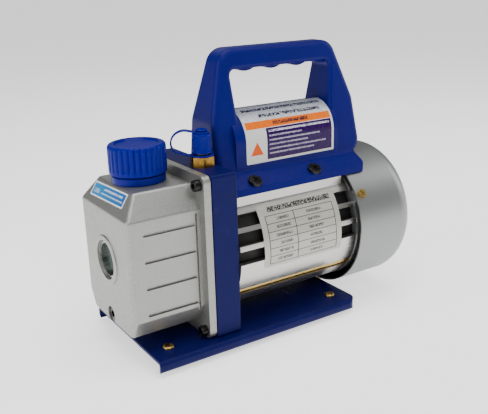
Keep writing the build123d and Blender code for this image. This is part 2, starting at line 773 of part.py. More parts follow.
# two coil springs between the vanes, as sleeves of the coils' size
with BuildPart() as vane_springs:
    with BuildSketch(Plane.XZ):
        with Locations(*[(x, axis_z) for x in spring_xs]):
            Circle(1.7)
            Circle(1.1, mode=Mode.SUBTRACT)
    extrude(amount=vane_root_r - 0.1, both=True)
vane_springs.part.label = "vane_springs"
export_step(vane_springs.part, "parts/vane_springs.step")

# spring steel leaf over the exhaust holes
with BuildPart() as exhaust_reed:
    with BuildSketch(Plane.XY.offset(flat_z + 0.05)):
        with Locations((reed_pivot_x - 9.5, 0)):
            Rectangle(22.0, 10.0)
        with Locations((reed_pivot_x, -3.0), (reed_pivot_x, 3.0)):
            Circle(1.8, mode=Mode.SUBTRACT)
    extrude(amount=0.3)
exhaust_reed.part.label = "exhaust_reed"
export_step(exhaust_reed.part, "parts/exhaust_reed.step")

# shouldered screws that hold the stop clear of the reed
with BuildPart() as reed_screws:
    with BuildSketch(Plane.XY.offset(flat_z)):
        with Locations((reed_pivot_x, -3.0), (reed_pivot_x, 3.0)):
            Circle(1.25)
    extrude(amount=3.6)
    with BuildSketch(Plane.XY.offset(flat_z)):
        with Locations((reed_pivot_x, -3.0), (reed_pivot_x, 3.0)):
            Circle(1.25)
    extrude(amount=-4.5)
    with BuildSketch(Plane.XY.offset(flat_z + 2.2)):
        with Locations((reed_pivot_x, -3.0), (reed_pivot_x, 3.0)):
            Circle(2.3)
    extrude(amount=1.6)
reed_screws.part.label = "reed_screws"
export_step(reed_screws.part, "parts/reed_screws.step")

# bent plate that limits how far the reed lifts
with BuildPart() as reed_stop:
    with BuildSketch(Plane.XZ):
        with BuildLine():
            Polyline(
                (reed_pivot_x + 3.0, flat_z + 1.0),
                (reed_pivot_x + 3.0, flat_z + 2.2),
                (reed_pivot_x - 3.0, flat_z + 2.2),
                (reed_pivot_x - 20.5, flat_z + 5.2),
                (reed_pivot_x - 20.5, flat_z + 4.0),
                (reed_pivot_x - 3.0, flat_z + 1.0),
                close=True,
            )
        make_face()
    extrude(amount=5.0, both=True)
    with BuildSketch(Plane.XY.offset(flat_z)):
        with Locations((reed_pivot_x, -3.0), (reed_pivot_x, 3.0)):
            Circle(1.25)
    extrude(amount=5.0, mode=Mode.SUBTRACT)
reed_stop.part.label = "reed_stop"
export_step(reed_stop.part, "parts/reed_stop.step")

# ==== motor shaft, seal and bearings =================================================
shaft_front_x = rotor_rear_x - 9.9
shaft_step_x = 80.0
shaft_rear_x = 111.0

with BuildPart() as shaft_seal:
    with BuildSketch(across(seal_front_x)):
        Circle(seal_r)
        Circle(shaft_r + 0.05, mode=Mode.SUBTRACT)
    extrude(amount=seal_rear_x - seal_front_x)
shaft_seal.part.label = "shaft_seal"
export_step(shaft_seal.part, "parts/shaft_seal.step")

with BuildPart() as motor_shaft:
    with BuildSketch(across(shaft_front_x)):
        Circle(shaft_r)
    extrude(amount=shaft_step_x - shaft_front_x)
    with BuildSketch(across(shaft_step_x)):
        Circle(shaft_tail_r)
    extrude(amount=shaft_rear_x - shaft_step_x)
    chamfer(motor_shaft.edges().group_by(Axis.X)[-1], length=0.6)
motor_shaft.part.label = "motor_shaft"
export_step(motor_shaft.part, "parts/motor_shaft.step")

# two alike ball bearings: outer race, inner race and seven balls each
for name, start in (("front_bearing", front_bearing_x), ("rear_bearing", rear_bearing_x)):
    with BuildPart() as bearing:
        with BuildSketch(across(start)):
            Circle(bearing_r)
            Circle(13.4, mode=Mode.SUBTRACT)
        extrude(amount=bearing_width)
        with BuildSketch(across(start)):
            Circle(8.6)
            Circle(shaft_r + 0.05, mode=Mode.SUBTRACT)
        extrude(amount=bearing_width)
        with Locations(across(start + bearing_width / 2)):
            with PolarLocations(11.0, 7):
                Sphere(2.3)
    bearing.part.label = name
    export_step(bearing.part, f"parts/{name}.step")

# ==== motor ==========================================================================
core_length = core_rear_x - core_front_x
winding_plane = across(core_front_x - 17.0)
slot_count = 24

# laminated core with open slots
with BuildPart() as stator_core:
    with BuildSketch(across(core_front_x)):
        Circle(shell_bore_r)
        Circle(core_bore_r, mode=Mode.SUBTRACT)
        with PolarLocations(33.5, slot_count):
            Rectangle(9.0, 4.0, mode=Mode.SUBTRACT)
    extrude(amount=core_length)
stator_core.part.label = "stator_core"
export_step(stator_core.part, "parts/stator_core.step")

# copper coils: a bar in each slot and an end turn on each side
with BuildPart() as stator_windings:
    with BuildSketch(winding_plane):
        Circle(41.0)
        Circle(28.5, mode=Mode.SUBTRACT)
    extrude(amount=14.0)
    fillet(stator_windings.edges(), radius=3.5)
    mirror(about=across((core_front_x + core_rear_x) / 2))
    with BuildSketch(across(core_front_x - 5.0)):
        with PolarLocations(33.5, slot_count):
            Rectangle(8.6, 3.6)
    extrude(amount=core_length + 10.0)
stator_windings.part.label = "stator_windings"
export_step(stator_windings.part, "parts/stator_windings.step")

# squirrel cage rotor pressed on the shaft
with BuildPart() as motor_rotor:
    with BuildSketch(across(core_front_x)):
        Circle(core_bore_r - air_gap)
    extrude(amount=core_length)
    with BuildSketch(across(core_front_x - 6.0)):
        Circle(core_bore_r - 2.0)
    extrude(amount=core_length + 12.0)
    with BuildSketch(across(core_front_x - 6.0)):
        Circle(shaft_r)
    extrude(amount=core_length + 12.0, mode=Mode.SUBTRACT)
    with BuildSketch(across(core_front_x - 6.0)):
        with PolarLocations(17.5, 8):
            Circle(3.5)
    extrude(amount=core_length + 12.0, mode=Mode.SUBTRACT)
motor_rotor.part.label = "motor_rotor"
export_step(motor_rotor.part, "parts/motor_rotor.step")

# extruded shell: smooth bands, three cooling channels a side, a groove for each tie rod
channel_spans = ((26.6, 37.8), (11.2, 22.4), (-4.8, 6.9))
rail_y = 34.0
screw_xs = (-19.5, 37.0)
screw_y = 35.6
rail_rear_x = 64.0


def rail_top(y):
    """Height above the motor axis of the handle flange's underside at y."""
    under = flange_top_z - axis_z - 4.6
    return under - (y - flange_root_y) * tan(radians(flange_tilt))


def flange_plane(side):
    """Plane on a flange's top, its x along +X, centred on the screws' line."""
    rise = radians(flange_tilt)
    middle_z = flange_top_z - (screw_y - flange_root_y) * tan(rise)
    return Plane(origin=(0, side * screw_y, middle_z), x_dir=(1, 0, 0),
                 z_dir=(0, side * sin(rise), cos(rise)))


shell_length = shell_rear_x - bracket_rear_x
with BuildPart() as motor_shell:
    with BuildSketch(across(bracket_rear_x)):
        Circle(shell_r)
        for side in (-1, 1):
            with Locations((side * rail_y, 43.5)):
                Rectangle(6.4, 14.0)
        with BuildLine():
            Polyline((28.0, rail_top(28.0)), (50.0, rail_top(50.0)), (50.0, 70.0),
                     (-50.0, 70.0), (-50.0, rail_top(50.0)), (-28.0, rail_top(28.0)), close=True)
        make_face(mode=Mode.SUBTRACT)
        for low, high in channel_spans:
            for start, end in ((low, high), (180.0 - high, 180.0 - low)):
                with BuildLine():
                    Polyline(polar(fin_root_r, start), polar(shell_r + 2, start),
                             polar(shell_r + 2, end), polar(fin_root_r, end), close=True)
                make_face(mode=Mode.SUBTRACT)
        for angle in rod_angles:
            with Locations(Location((*polar(rod_circle_r + 1.5, angle), 0), (0, 0, angle))):
                Rectangle(9.0, 7.4, mode=Mode.SUBTRACT)
        Circle(shell_bore_r, mode=Mode.SUBTRACT)
    extrude(amount=shell_length)
    with BuildSketch(across(rail_rear_x)):
        Circle(cover_r + 10)
        Circle(shell_r, mode=Mode.SUBTRACT)
    extrude(amount=shell_rear_x - rail_rear_x, mode=Mode.SUBTRACT)
    for side in (-1, 1):
        with BuildSketch(flange_plane(side)):
            with Locations(*[(x, 0) for x in screw_xs]):
                Circle(2.4)
        extrude(amount=-9.0, mode=Mode.SUBTRACT)
motor_shell.part.label = "motor_shell"
export_step(motor_shell.part, "parts/motor_shell.step")

# end shield with the rear bearing and three ears for the fan cover
ear_r = cover_r - cover_sheet - 0.1
with BuildPart() as end_shield:
    with BuildSketch(across(shell_rear_x)):
        Circle(shell_r + 0.7)
        for angle in cover_screw_angles:
            with Locations(Location((*polar(ear_r - 6.0, angle), 0), (0, 0, angle))):
                Rectangle(12.0, 10.0)
        Circle(ear_r, mode=Mode.INTERSECT)
        with Locations(*rod_spots):
            Circle(rod_r + 0.2, mode=Mode.SUBTRACT)
    extrude(amount=shield_rear_x - shell_rear_x)
    with BuildSketch(across(shell_rear_x)):
        Circle(shell_bore_r - 0.2)
        Circle(shell_bore_r - 5.0, mode=Mode.SUBTRACT)
    extrude(amount=-3.0)
    with BuildSketch(across(rear_bearing_x)):
        Circle(bearing_r + 4.0)
    extrude(amount=shield_rear_x - rear_bearing_x + 2.0)
    with BuildSketch(across(rear_bearing_x)):
        Circle(bearing_r)
    extrude(amount=bearing_width, mode=Mode.SUBTRACT)
    with BuildSketch(across(rear_bearing_x)):
        Circle(shaft_r + 1.5)
    extrude(amount=20.0, mode=Mode.SUBTRACT)
    for angle in cover_screw_angles:
        spoke = Plane(origin=(cover_screw_x, 0, axis_z), x_dir=(1, 0, 0),
                      z_dir=(0, cos(radians(angle)), sin(radians(angle))))
        with BuildSketch(spoke.offset(53.0)):
            Circle(2.0)
        extrude(amount=7.0, mode=Mode.SUBTRACT)
end_shield.part.label = "end_shield"
export_step(end_shield.part, "parts/end_shield.step")

# long M5 rods from the bracket through the end shield
with BuildPart() as tie_rods:
    with BuildSketch(across(bracket_rear_x - 12.0)):
        with Locations(*rod_spots):
            Circle(rod_r)
    extrude(amount=shield_rear_x - bracket_rear_x + 18.0)
tie_rods.part.label = "tie_rods"
export_step(tie_rods.part, "parts/tie_rods.step")

with BuildPart() as tie_rod_nuts:
    with BuildSketch(across(shield_rear_x)):
        with Locations(*rod_spots):
            RegularPolygon(4.0, 6, major_radius=False)
            Circle(rod_r, mode=Mode.SUBTRACT)
    extrude(amount=4.0)
tie_rod_nuts.part.label = "tie_rod_nuts"
export_step(tie_rod_nuts.part, "parts/tie_rod_nuts.step")

# ==== cooling fan and its cover ======================================================
fan_x = 88.0
fan_width = 20.0
fan_hub_r = 13.0
blade_tip_r = 51.0

with BuildPart() as cooling_fan:
    with BuildSketch(across(fan_x)):
        Circle(32.0)
    extrude(amount=1.8)
    with BuildSketch(across(fan_x)):
        Circle(fan_hub_r)
        with PolarLocations((fan_hub_r + blade_tip_r) / 2 - 1.0, 8):
            Rectangle(blade_tip_r - fan_hub_r + 2.0, 1.8)
    extrude(amount=fan_width)
    with BuildSketch(across(fan_x)):
        Circle(shaft_tail_r)
    extrude(amount=fan_width, mode=Mode.SUBTRACT)
cooling_fan.part.label = "cooling_fan"
export_step(cooling_fan.part, "parts/cooling_fan.step")

with BuildPart() as fan_clip:
    with BuildSketch(across(fan_x + fan_width + 0.2)):
        Circle(8.0)
        Circle(shaft_tail_r, mode=Mode.SUBTRACT)
    extrude(amount=1.2)
fan_clip.part.label = "fan_clip"
export_step(fan_clip.part, "parts/fan_clip.step")

# drawn sheet cup, open in front, with a ring of slots in the back
with BuildPart() as fan_cover:
    with BuildSketch(Plane.XZ):
        with BuildLine():
            skirt = Line((cover_front_x, axis_z + cover_r),
                         (rear_x - cover_round_r, axis_z + cover_r))
            corner = TangentArc(skirt @ 1, (rear_x, axis_z + cover_r - cover_round_r),
                                tangent=(1, 0))
            back = Line(corner @ 1, (rear_x, axis_z))
            step = Line(back @ 1, (rear_x - cover_sheet, axis_z))
            inner_back = Line(step @ 1, (rear_x - cover_sheet, axis_z + cover_r - cover_round_r))
            inner_corner = TangentArc(
                inner_back @ 1,
                (rear_x - cover_round_r, axis_z + cover_r - cover_sheet),
                tangent=(0, 1),
            )
            inner_skirt = Line(inner_corner @ 1,
                               (cover_front_x, axis_z + cover_r - cover_sheet))
            Line(inner_skirt @ 1, skirt @ 0)
        make_face()
    revolve(axis=axis_y0)
    with BuildSketch(across(rear_x)):
        with PolarLocations(27.5, 20):
            SlotOverall(21.0, 4.0)
        with PolarLocations(9.0, 8):
            SlotOverall(9.0, 3.0)
    extrude(amount=-3.0, mode=Mode.SUBTRACT)
    for angle in cover_screw_angles:
        spoke = Plane(origin=(cover_screw_x, 0, axis_z), x_dir=(1, 0, 0),
                      z_dir=(0, cos(radians(angle)), sin(radians(angle))))
        with BuildSketch(spoke.offset(53.0)):
            Circle(2.2)
        extrude(amount=9.0, mode=Mode.SUBTRACT)
fan_cover.part.label = "fan_cover"
export_step(fan_cover.part, "parts/fan_cover.step")

# M4 pan head screws, radial
with BuildPart() as cover_screws:
    for angle in cover_screw_angles:
        spoke = Plane(origin=(cover_screw_x, 0, axis_z), x_dir=(1, 0, 0),
                      z_dir=(0, cos(radians(angle)), sin(radians(angle))))
        with BuildSketch(spoke.offset(cover_r + 0.05)):
            Circle(3.7)
        extrude(amount=2.2)
        with BuildSketch(spoke.offset(53.0)):
            Circle(2.0)
        extrude(amount=7.0)
        with BuildSketch(spoke.offset(cover_r + 2.25)):
            Rectangle(3.8, 0.8, rotation=20)
            Rectangle(0.8, 3.8, rotation=20)
        extrude(amount=-1.2, mode=Mode.SUBTRACT)
cover_screws.part.label = "cover_screws"
export_step(cover_screws.part, "parts/cover_screws.step")

# ==== handle =========================================================================
hole_front_x = -24.1
hole_rear_x = 71.6
hole_top_z = 205.8
hole_low_z = 160.0
foot_half = 24.6
grip_top_half = 9.6
edge_round = 5.0
hollow_top_z = 170.6
low_hollow_z = 163.0        # under the bulge's round top
hole_round = 3.0
bump_xs = [-7.6 + 24.6 * i for i in range(4)]
bump_r = 16.0
bump_depth = 2.0
bump_half = 8.0
panel_low_z = 131.9
panel_high_z = 170.4
inlet_wide = 27.0
inlet_high = 19.8
switch_wide = 18.8
switch_high = 12.4
rocker_x = panel_x + 0.4
rocker_tilt = 8.0
flange_thick = 2.8
flange_length = 132.0
lip_y = lip_half - 1.0
lip_top_z = flange_top_z - (lip_y - flange_root_y) * tan(radians(flange_tilt))


def side_half(z):
    """Half width of the handle's upright at height z."""
    share = (z - handle_foot_z) / (handle_top_z - handle_foot_z)
    return foot_half + share * (grip_top_half - foot_half)


# moulded handle: side view and end view crossed, then the hand hole, bulge and flanges
with BuildPart() as handle:
    with BuildSketch(Plane.XZ):
        with BuildLine():
            Polyline(
                (handle_front_x, handle_foot_z),
                (handle_front_x, 168.0),
                (-30.5, handle_top_z),
                (75.5, handle_top_z),
                (93.5, 174.0),
                (handle_rear_x, handle_foot_z),
                close=True,
            )
        side_view = make_face()
        fillet(side_view.vertices().group_by(Axis.Z)[-1], radius=13.0)
        fillet(side_view.vertices().sort_by_distance((handle_front_x, 0, 168.0))[0], radius=40.0)
        fillet(side_view.vertices().sort_by_distance((93.5, 0, 174.0))[0], radius=25.0)
    extrude(amount=lip_half, both=True)
    with BuildSketch(Plane.YZ.offset(handle_front_x - 1)):
        with BuildLine():
            Polyline(
                (foot_half, handle_foot_z),
                (grip_top_half, handle_top_z),
                (-grip_top_half, handle_top_z),
                (-foot_half, handle_foot_z),
                close=True,
            )
        make_face()
    extrude(amount=handle_rear_x - handle_front_x + 2, mode=Mode.INTERSECT)
    outside = handle.edges().filter_by_position(Axis.Z, handle_foot_z + 0.1, handle_top_z)
    fillet(outside, radius=edge_round)
    with BuildSketch(Plane.XZ):
        with BuildLine():
            Polyline(
                (hole_front_x + 3.2, hole_low_z),
                (hole_front_x, hole_top_z),
                (hole_rear_x, hole_top_z),
                (hole_rear_x - 5.4, hole_low_z),
                close=True,
            )
        hand_hole = make_face()
        fillet(hand_hole.vertices().group_by(Axis.Z)[-1], radius=5.0)
    extrude(amount=lip_half, both=True, mode=Mode.SUBTRACT)
    hole_rim = (
        handle.edges()
        .filter_by_position(Axis.X, hole_front_x - 0.1, hole_rear_x + 0.1)
        .filter_by_position(Axis.Z, hole_low_z + 0.5, hole_top_z + 0.1)
        .filter_by(lambda edge: abs((edge @ 0).Y - (edge @ 1).Y) < 1.0)
    )
    fillet(hole_rim, radius=hole_round)
    with BuildSketch(Plane.XZ):
        with Locations(*[(x, hole_top_z + bump_r - bump_depth) for x in bump_xs]):
            Circle(bump_r)
        with Locations((hole_rear_x / 2, hole_top_z + 30.4)):
            Rectangle(200.0, 60.0, mode=Mode.SUBTRACT)
        with Locations((hole_rear_x + 20.0, hole_top_z)):
            Rectangle(40.0, 40.0, mode=Mode.SUBTRACT)
    extrude(amount=bump_half, both=True)
    with BuildSketch(Plane.YZ.offset(hole_front_x - 4.0)):
        with Locations((0, bulge_z)):
            Circle(bulge_r)
        with Locations((0, (bulge_z + handle_foot_z) / 2)):
            Rectangle(2 * bulge_r, bulge_z - handle_foot_z)
    extrude(amount=hole_rear_x - hole_front_x + 4.0)
    with BuildSketch(Plane.YZ.offset(handle_front_x)):
        for side in (-1, 1):
            with BuildLine():
                Polyline(
                    (side * (flange_root_y - 4.0), flange_top_z + 2.0),
                    (side * (flange_root_y - 1.2), flange_top_z + 2.0),
                    (side * flange_root_y, flange_top_z),
                    (side * lip_y, lip_top_z),
                    (side * lip_half, lip_low_z),
                    (side * (lip_half - flange_thick), lip_low_z),
                    (side * (lip_y - flange_thick), lip_top_z - flange_thick),
                    (side * (flange_root_y - 4.0), handle_foot_z),
                    close=True,
                )
            make_face()
    extrude(amount=flange_length)
    with BuildSketch(Plane.XY.offset(lip_low_z - 1)):
        with Locations((handle_front_x + flange_length / 2 - 20, 0)):
            shadow = Rectangle(flange_length + 40, 2 * lip_half + 1)
        fillet(shadow.vertices().group_by(Axis.X)[-1], radius=8.0)
        with Locations((handle_rear_x - 20.0, 0)):
            Rectangle(60.0, 2 * foot_half - 2.0)
    extrude(amount=handle_top_z, mode=Mode.INTERSECT)
    with BuildSketch(Plane.YZ.offset(hole_front_x)):
        with Locations((0, bulge_z)):
            Circle(bulge_r - handle_wall)
        with Locations((0, (bulge_z + lip_low_z) / 2)):
            Rectangle(2 * (bulge_r - handle_wall), bulge_z - lip_low_z)
    extrude(amount=hole_rear_x - 5.0 - hole_front_x, mode=Mode.SUBTRACT)
    for start_x, top_z in ((handle_front_x + handle_wall, low_hollow_z),
                           (hole_rear_x + handle_wall, hollow_top_z)):
        with BuildSketch(Plane.YZ.offset(start_x)):
            with BuildLine():
                Polyline(
                    (foot_half - handle_wall, lip_low_z),
                    (foot_half - handle_wall, handle_foot_z),
                    (side_half(top_z) - handle_wall, top_z),
                    (handle_wall - side_half(top_z), top_z),
                    (handle_wall - foot_half, handle_foot_z),
                    (handle_wall - foot_half, lip_low_z),
                    close=True,
                )
            make_face()
        extrude(amount=panel_x - handle_wall - start_x, mode=Mode.SUBTRACT)
    with BuildSketch(across(cover_front_x - 1.0)):
        Circle(cover_r + 0.5)
    extrude(amount=cover_r, mode=Mode.SUBTRACT)
    with BuildSketch(Plane.YZ.offset(panel_x)):
        with Locations((0, (panel_low_z + panel_high_z) / 2)):
            panel = RectangleRounded(34.0, panel_high_z - panel_low_z, 2.0)
    extrude(amount=20.0, mode=Mode.SUBTRACT)
    with BuildSketch(Plane.YZ.offset(panel_x)):
        with Locations((0, inlet_z)):
            Rectangle(inlet_wide + 0.2, inlet_high + 0.2)
        with Locations((0, switch_z)):
            Rectangle(switch_wide + 0.2, switch_high + 0.2)
    extrude(amount=-2 * handle_wall, mode=Mode.SUBTRACT)
    for side in (-1, 1):
        with BuildSketch(flange_plane(side).offset(-10.0)):
            with Locations(*[(x, 0) for x in screw_xs]):
                Circle(2.7)
        extrude(amount=20.0, mode=Mode.SUBTRACT)
handle.part.label = "handle"
export_step(handle.part, "parts/handle.step")

# M5 pan head screws through the flanges into the shell's rails
with BuildPart() as handle_screws:
    for side in (-1, 1):
        with BuildSketch(flange_plane(side)):
            with Locations(*[(x, 0) for x in screw_xs]):
                Circle(5.4)
        extrude(amount=3.0)
        with BuildSketch(flange_plane(side)):
            with Locations(*[(x, 0) for x in screw_xs]):
                Circle(2.4)
        extrude(amount=-9.0)
    head_rims = handle_screws.edges().filter_by(GeomType.CIRCLE)
    fillet(head_rims.filter_by(lambda edge: abs(edge.radius - 5.4) < 0.01), radius=0.5)
    for side in (-1, 1):
        with BuildSketch(flange_plane(side).offset(3.0)):
            with Locations(*[(x, 0) for x in screw_xs]):
                Rectangle(5.6, 1.1, rotation=30)
                Rectangle(1.1, 5.6, rotation=30)
        extrude(amount=-1.6, mode=Mode.SUBTRACT)
handle_screws.part.label = "handle_screws"
export_step(handle_screws.part, "parts/handle_screws.step")

# run capacitor lying in the bulge
with BuildPart() as capacitor:
    with BuildSketch(Plane.YZ.offset(-8.0)):
        with Locations((0, bulge_z)):
            Circle(18.0)
    extrude(amount=64.0)
    fillet(capacitor.edges(), radius=1.5)
    with BuildSketch(Plane.YZ.offset(56.0)):
        with Locations((-6.0, bulge_z), (6.0, bulge_z)):
            Rectangle(0.8, 6.3)
    extrude(amount=9.0)
capacitor.part.label = "capacitor"
export_step(capacitor.part, "parts/capacitor.step")

# mains inlet with a shrouded socket and three flat pins
inlet_plane = Plane.YZ.offset(panel_x)
pin_spots = [(-7.0, inlet_z - 2.0), (0.0, inlet_z + 2.0), (7.0, inlet_z - 2.0)]
with BuildPart() as power_inlet:
    with BuildSketch(inlet_plane):
        with Locations((0, inlet_z)):
            RectangleRounded(inlet_wide + 4.0, inlet_high + 2.4, 1.5)
    extrude(amount=2.0)
    with BuildSketch(inlet_plane):
        with Locations((0, inlet_z)):
            Rectangle(inlet_wide, inlet_high)
    extrude(amount=-18.0)
    with BuildSketch(inlet_plane.offset(2.0)):
        with Locations((0, inlet_z)):
            socket = Rectangle(24.4, 16.4)
        chamfer(socket.vertices().group_by(Axis.Z)[-1], length=4.6)
    extrude(amount=-17.0, mode=Mode.SUBTRACT)
    with BuildSketch(inlet_plane):
        with Locations(*pin_spots):
            Rectangle(2.0, 4.0)
    extrude(amount=-20.0, mode=Mode.SUBTRACT)
power_inlet.part.label = "power_inlet"
export_step(power_inlet.part, "parts/power_inlet.step")

with BuildPart() as inlet_pins:
    with BuildSketch(inlet_plane.offset(-24.0)):
        with Locations(*pin_spots):
            Rectangle(2.0, 4.0)
    extrude(amount=19.0)
inlet_pins.part.label = "inlet_pins"
export_step(inlet_pins.part, "parts/inlet_pins.step")

# rocker switch: a snap-in frame with a well for the rocker
switch_plane = Plane.YZ.offset(panel_x)
well_wide = 16.4
well_high = 11.2
with BuildPart() as switch_body:
    with BuildSketch(switch_plane):
        with Locations((0, switch_z)):
            RectangleRounded(switch_wide + 3.0, switch_high + 1.4, 1.0)
    extrude(amount=2.0)
    with BuildSketch(switch_plane):
        with Locations((0, switch_z)):
            Rectangle(switch_wide, switch_high)
    extrude(amount=-15.0)
    with BuildSketch(switch_plane.offset(2.0)):
        with Locations((0, switch_z)):
            Rectangle(well_wide, well_high)
    extrude(amount=-9.0, mode=Mode.SUBTRACT)
switch_body.part.label = "switch_body"
export_step(switch_body.part, "parts/switch_body.step")

# rocker: round back on its pivot, shallow vee in front, tipped to the off side
rocker_plane = Plane(origin=(rocker_x, 0, switch_z), x_dir=(cos(radians(rocker_tilt)), 0,
                     -sin(radians(rocker_tilt))), z_dir=(0, -1, 0))
with BuildPart() as switch_rocker:
    with BuildSketch(rocker_plane):
        with BuildLine():
            face = Polyline((3.4, 4.6), (2.3, 0), (3.4, -4.6))
            ThreePointArc(face @ 0, (-5.2, 0), face @ 1)
        make_face()
    extrude(amount=well_wide / 2 - 0.3, both=True)
switch_rocker.part.label = "switch_rocker"
export_step(switch_rocker.part, "parts/switch_rocker.step")
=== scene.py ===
from math import cos, pi, radians, sin, sqrt, tau

import bmesh
import bpy
from mathutils import Matrix, Vector


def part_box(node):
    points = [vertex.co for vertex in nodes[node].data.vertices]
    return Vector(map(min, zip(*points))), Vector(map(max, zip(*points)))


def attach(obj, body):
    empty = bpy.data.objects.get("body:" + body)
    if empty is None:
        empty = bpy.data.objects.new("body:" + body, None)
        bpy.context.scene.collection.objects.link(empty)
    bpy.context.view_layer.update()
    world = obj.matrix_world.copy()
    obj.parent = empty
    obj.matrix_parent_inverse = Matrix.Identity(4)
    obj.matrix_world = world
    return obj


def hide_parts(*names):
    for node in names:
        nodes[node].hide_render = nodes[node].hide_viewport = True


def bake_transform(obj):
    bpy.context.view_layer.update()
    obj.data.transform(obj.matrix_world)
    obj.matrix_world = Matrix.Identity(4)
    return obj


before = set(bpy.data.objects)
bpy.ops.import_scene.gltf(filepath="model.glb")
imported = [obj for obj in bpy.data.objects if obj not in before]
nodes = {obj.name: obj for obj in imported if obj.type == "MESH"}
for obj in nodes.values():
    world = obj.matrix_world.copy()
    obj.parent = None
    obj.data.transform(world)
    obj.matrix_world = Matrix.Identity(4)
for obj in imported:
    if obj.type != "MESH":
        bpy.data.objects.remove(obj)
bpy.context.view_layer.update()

# Studio. The pump stands on a white sweep between soft boxes and is seen from its
# oil case corner, from a little above.
eye = Vector((-0.3060, -0.4697, 0.2724))
aim = Vector((-0.0074, 0.0, 0.0926))
lean = radians(-1.68)
ahead = (aim - eye).normalized()
right = ahead.cross(Vector((0, 0, 1))).normalized()
up = right.cross(ahead)
level_right = cos(lean) * right + sin(lean) * up
level_up = cos(lean) * up - sin(lean) * right
camera_data = bpy.data.cameras.new("camera")
camera_data.lens = 52.7
camera_data.sensor_width = 36.0
camera_data.clip_start = 0.01
camera = bpy.data.objects.new("camera", camera_data)
stand = Matrix((level_right, level_up, -ahead)).transposed().to_4x4()
stand.translation = eye
camera.matrix_world = stand
bpy.context.scene.collection.objects.link(camera)
bpy.context.scene.camera = camera


def soft_box(name, place, target, size, watts, tint=(1.0, 1.0, 1.0)):
    lamp = bpy.data.lights.new(name, "AREA")
    lamp.shape = "RECTANGLE"
    lamp.size, lamp.size_y = size
    lamp.energy = watts
    lamp.color = tint
    box = bpy.data.objects.new(name, lamp)
    box.location = place
    box.rotation_euler = (Vector(target) - Vector(place)).to_track_quat("-Z", "Y").to_euler()
    bpy.context.scene.collection.objects.link(box)


soft_box("overhead_box", (0.0, -0.1, 1.2), (0.0, 0.0, 0.1), (1.0, 0.8), 12.0)
soft_box("case_side_box", (-1.1, -0.1, 0.5), (-0.1, 0.0, 0.08), (0.8, 0.7), 6.5)
soft_box("near_side_box", (-0.1, -1.1, 1.05), (0.0, 0.0, 0.05), (1.0, 0.4), 5.0)
soft_box("cover_side_box", (1.1, -0.3, 0.6), (0.1, 0.0, 0.1), (0.5, 0.9), 5.0)
soft_box("far_side_box", (0.3, 1.2, 1.1), (0.0, 0.0, 0.1), (0.9, 0.4), 2.0)

surround = bpy.data.worlds.new("surround")
surround.use_nodes = True
sky = surround.node_tree
room = sky.nodes["Background"]
room.inputs["Color"].default_value = (1.0, 1.0, 1.0, 1.0)
room.inputs["Strength"].default_value = 0.22
backdrop = sky.nodes.new("ShaderNodeBackground")
backdrop.inputs["Color"].default_value = (1.0, 1.0, 1.0, 1.0)
backdrop.inputs["Strength"].default_value = 2.2
pick = sky.nodes.new("ShaderNodeMixShader")
path = sky.nodes.new("ShaderNodeLightPath")
sky.links.new(path.outputs["Is Camera Ray"], pick.inputs[0])
sky.links.new(room.outputs[0], pick.inputs[1])
sky.links.new(backdrop.outputs[0], pick.inputs[2])
sky.links.new(pick.outputs[0], sky.nodes["World Output"].inputs["Surface"])
bpy.context.scene.world = surround


class Wire:
    """A value in a finish. Python arithmetic on it adds Math nodes to that finish."""

    def __init__(self, finish, socket):
        self.finish = finish
        self.socket = socket

    def __add__(self, other):
        return self.finish.maths("ADD", self, other)

    def __sub__(self, other):
        return self.finish.maths("SUBTRACT", self, other)

    def __rsub__(self, other):
        return self.finish.maths("SUBTRACT", other, self)

    def __mul__(self, other):
        return self.finish.maths("MULTIPLY", self, other)

    def __truediv__(self, other):
        return self.finish.maths("DIVIDE", self, other)

    def __pow__(self, other):
        return self.finish.maths("POWER", self, other)

    def __gt__(self, other):
        return self.finish.maths("GREATER_THAN", self, other)

    def __lt__(self, other):
        return self.finish.maths("LESS_THAN", self, other)

    def __mod__(self, other):
        return self.finish.maths("FLOORED_MODULO", self, other)

    def __abs__(self):
        return self.finish.maths("ABSOLUTE", self)

    __radd__ = __add__
    __rmul__ = __mul__


class Graph:
    """A node tree that is filled from Python."""

    def plug(self, socket, value):
        if isinstance(value, Wire):
            self.tree.links.new(value.socket, socket)
        else:
            socket.default_value = value

    def add(self, kind, settings, sockets, out=0):
        node = self.tree.nodes.new(kind)
        for name, value in settings.items():
            setattr(node, name, value)
        for name, value in sockets.items():
            self.plug(node.inputs[name], value)
        return Wire(self, node.outputs[out])

    def maths(self, operation, first, second=0.0):
        return self.add("ShaderNodeMath", {"operation": operation}, {0: first, 1: second})

    def axes(self, vector):
        split = self.add("ShaderNodeSeparateXYZ", {}, {0: vector})
        return tuple(Wire(self, socket) for socket in split.socket.node.outputs)


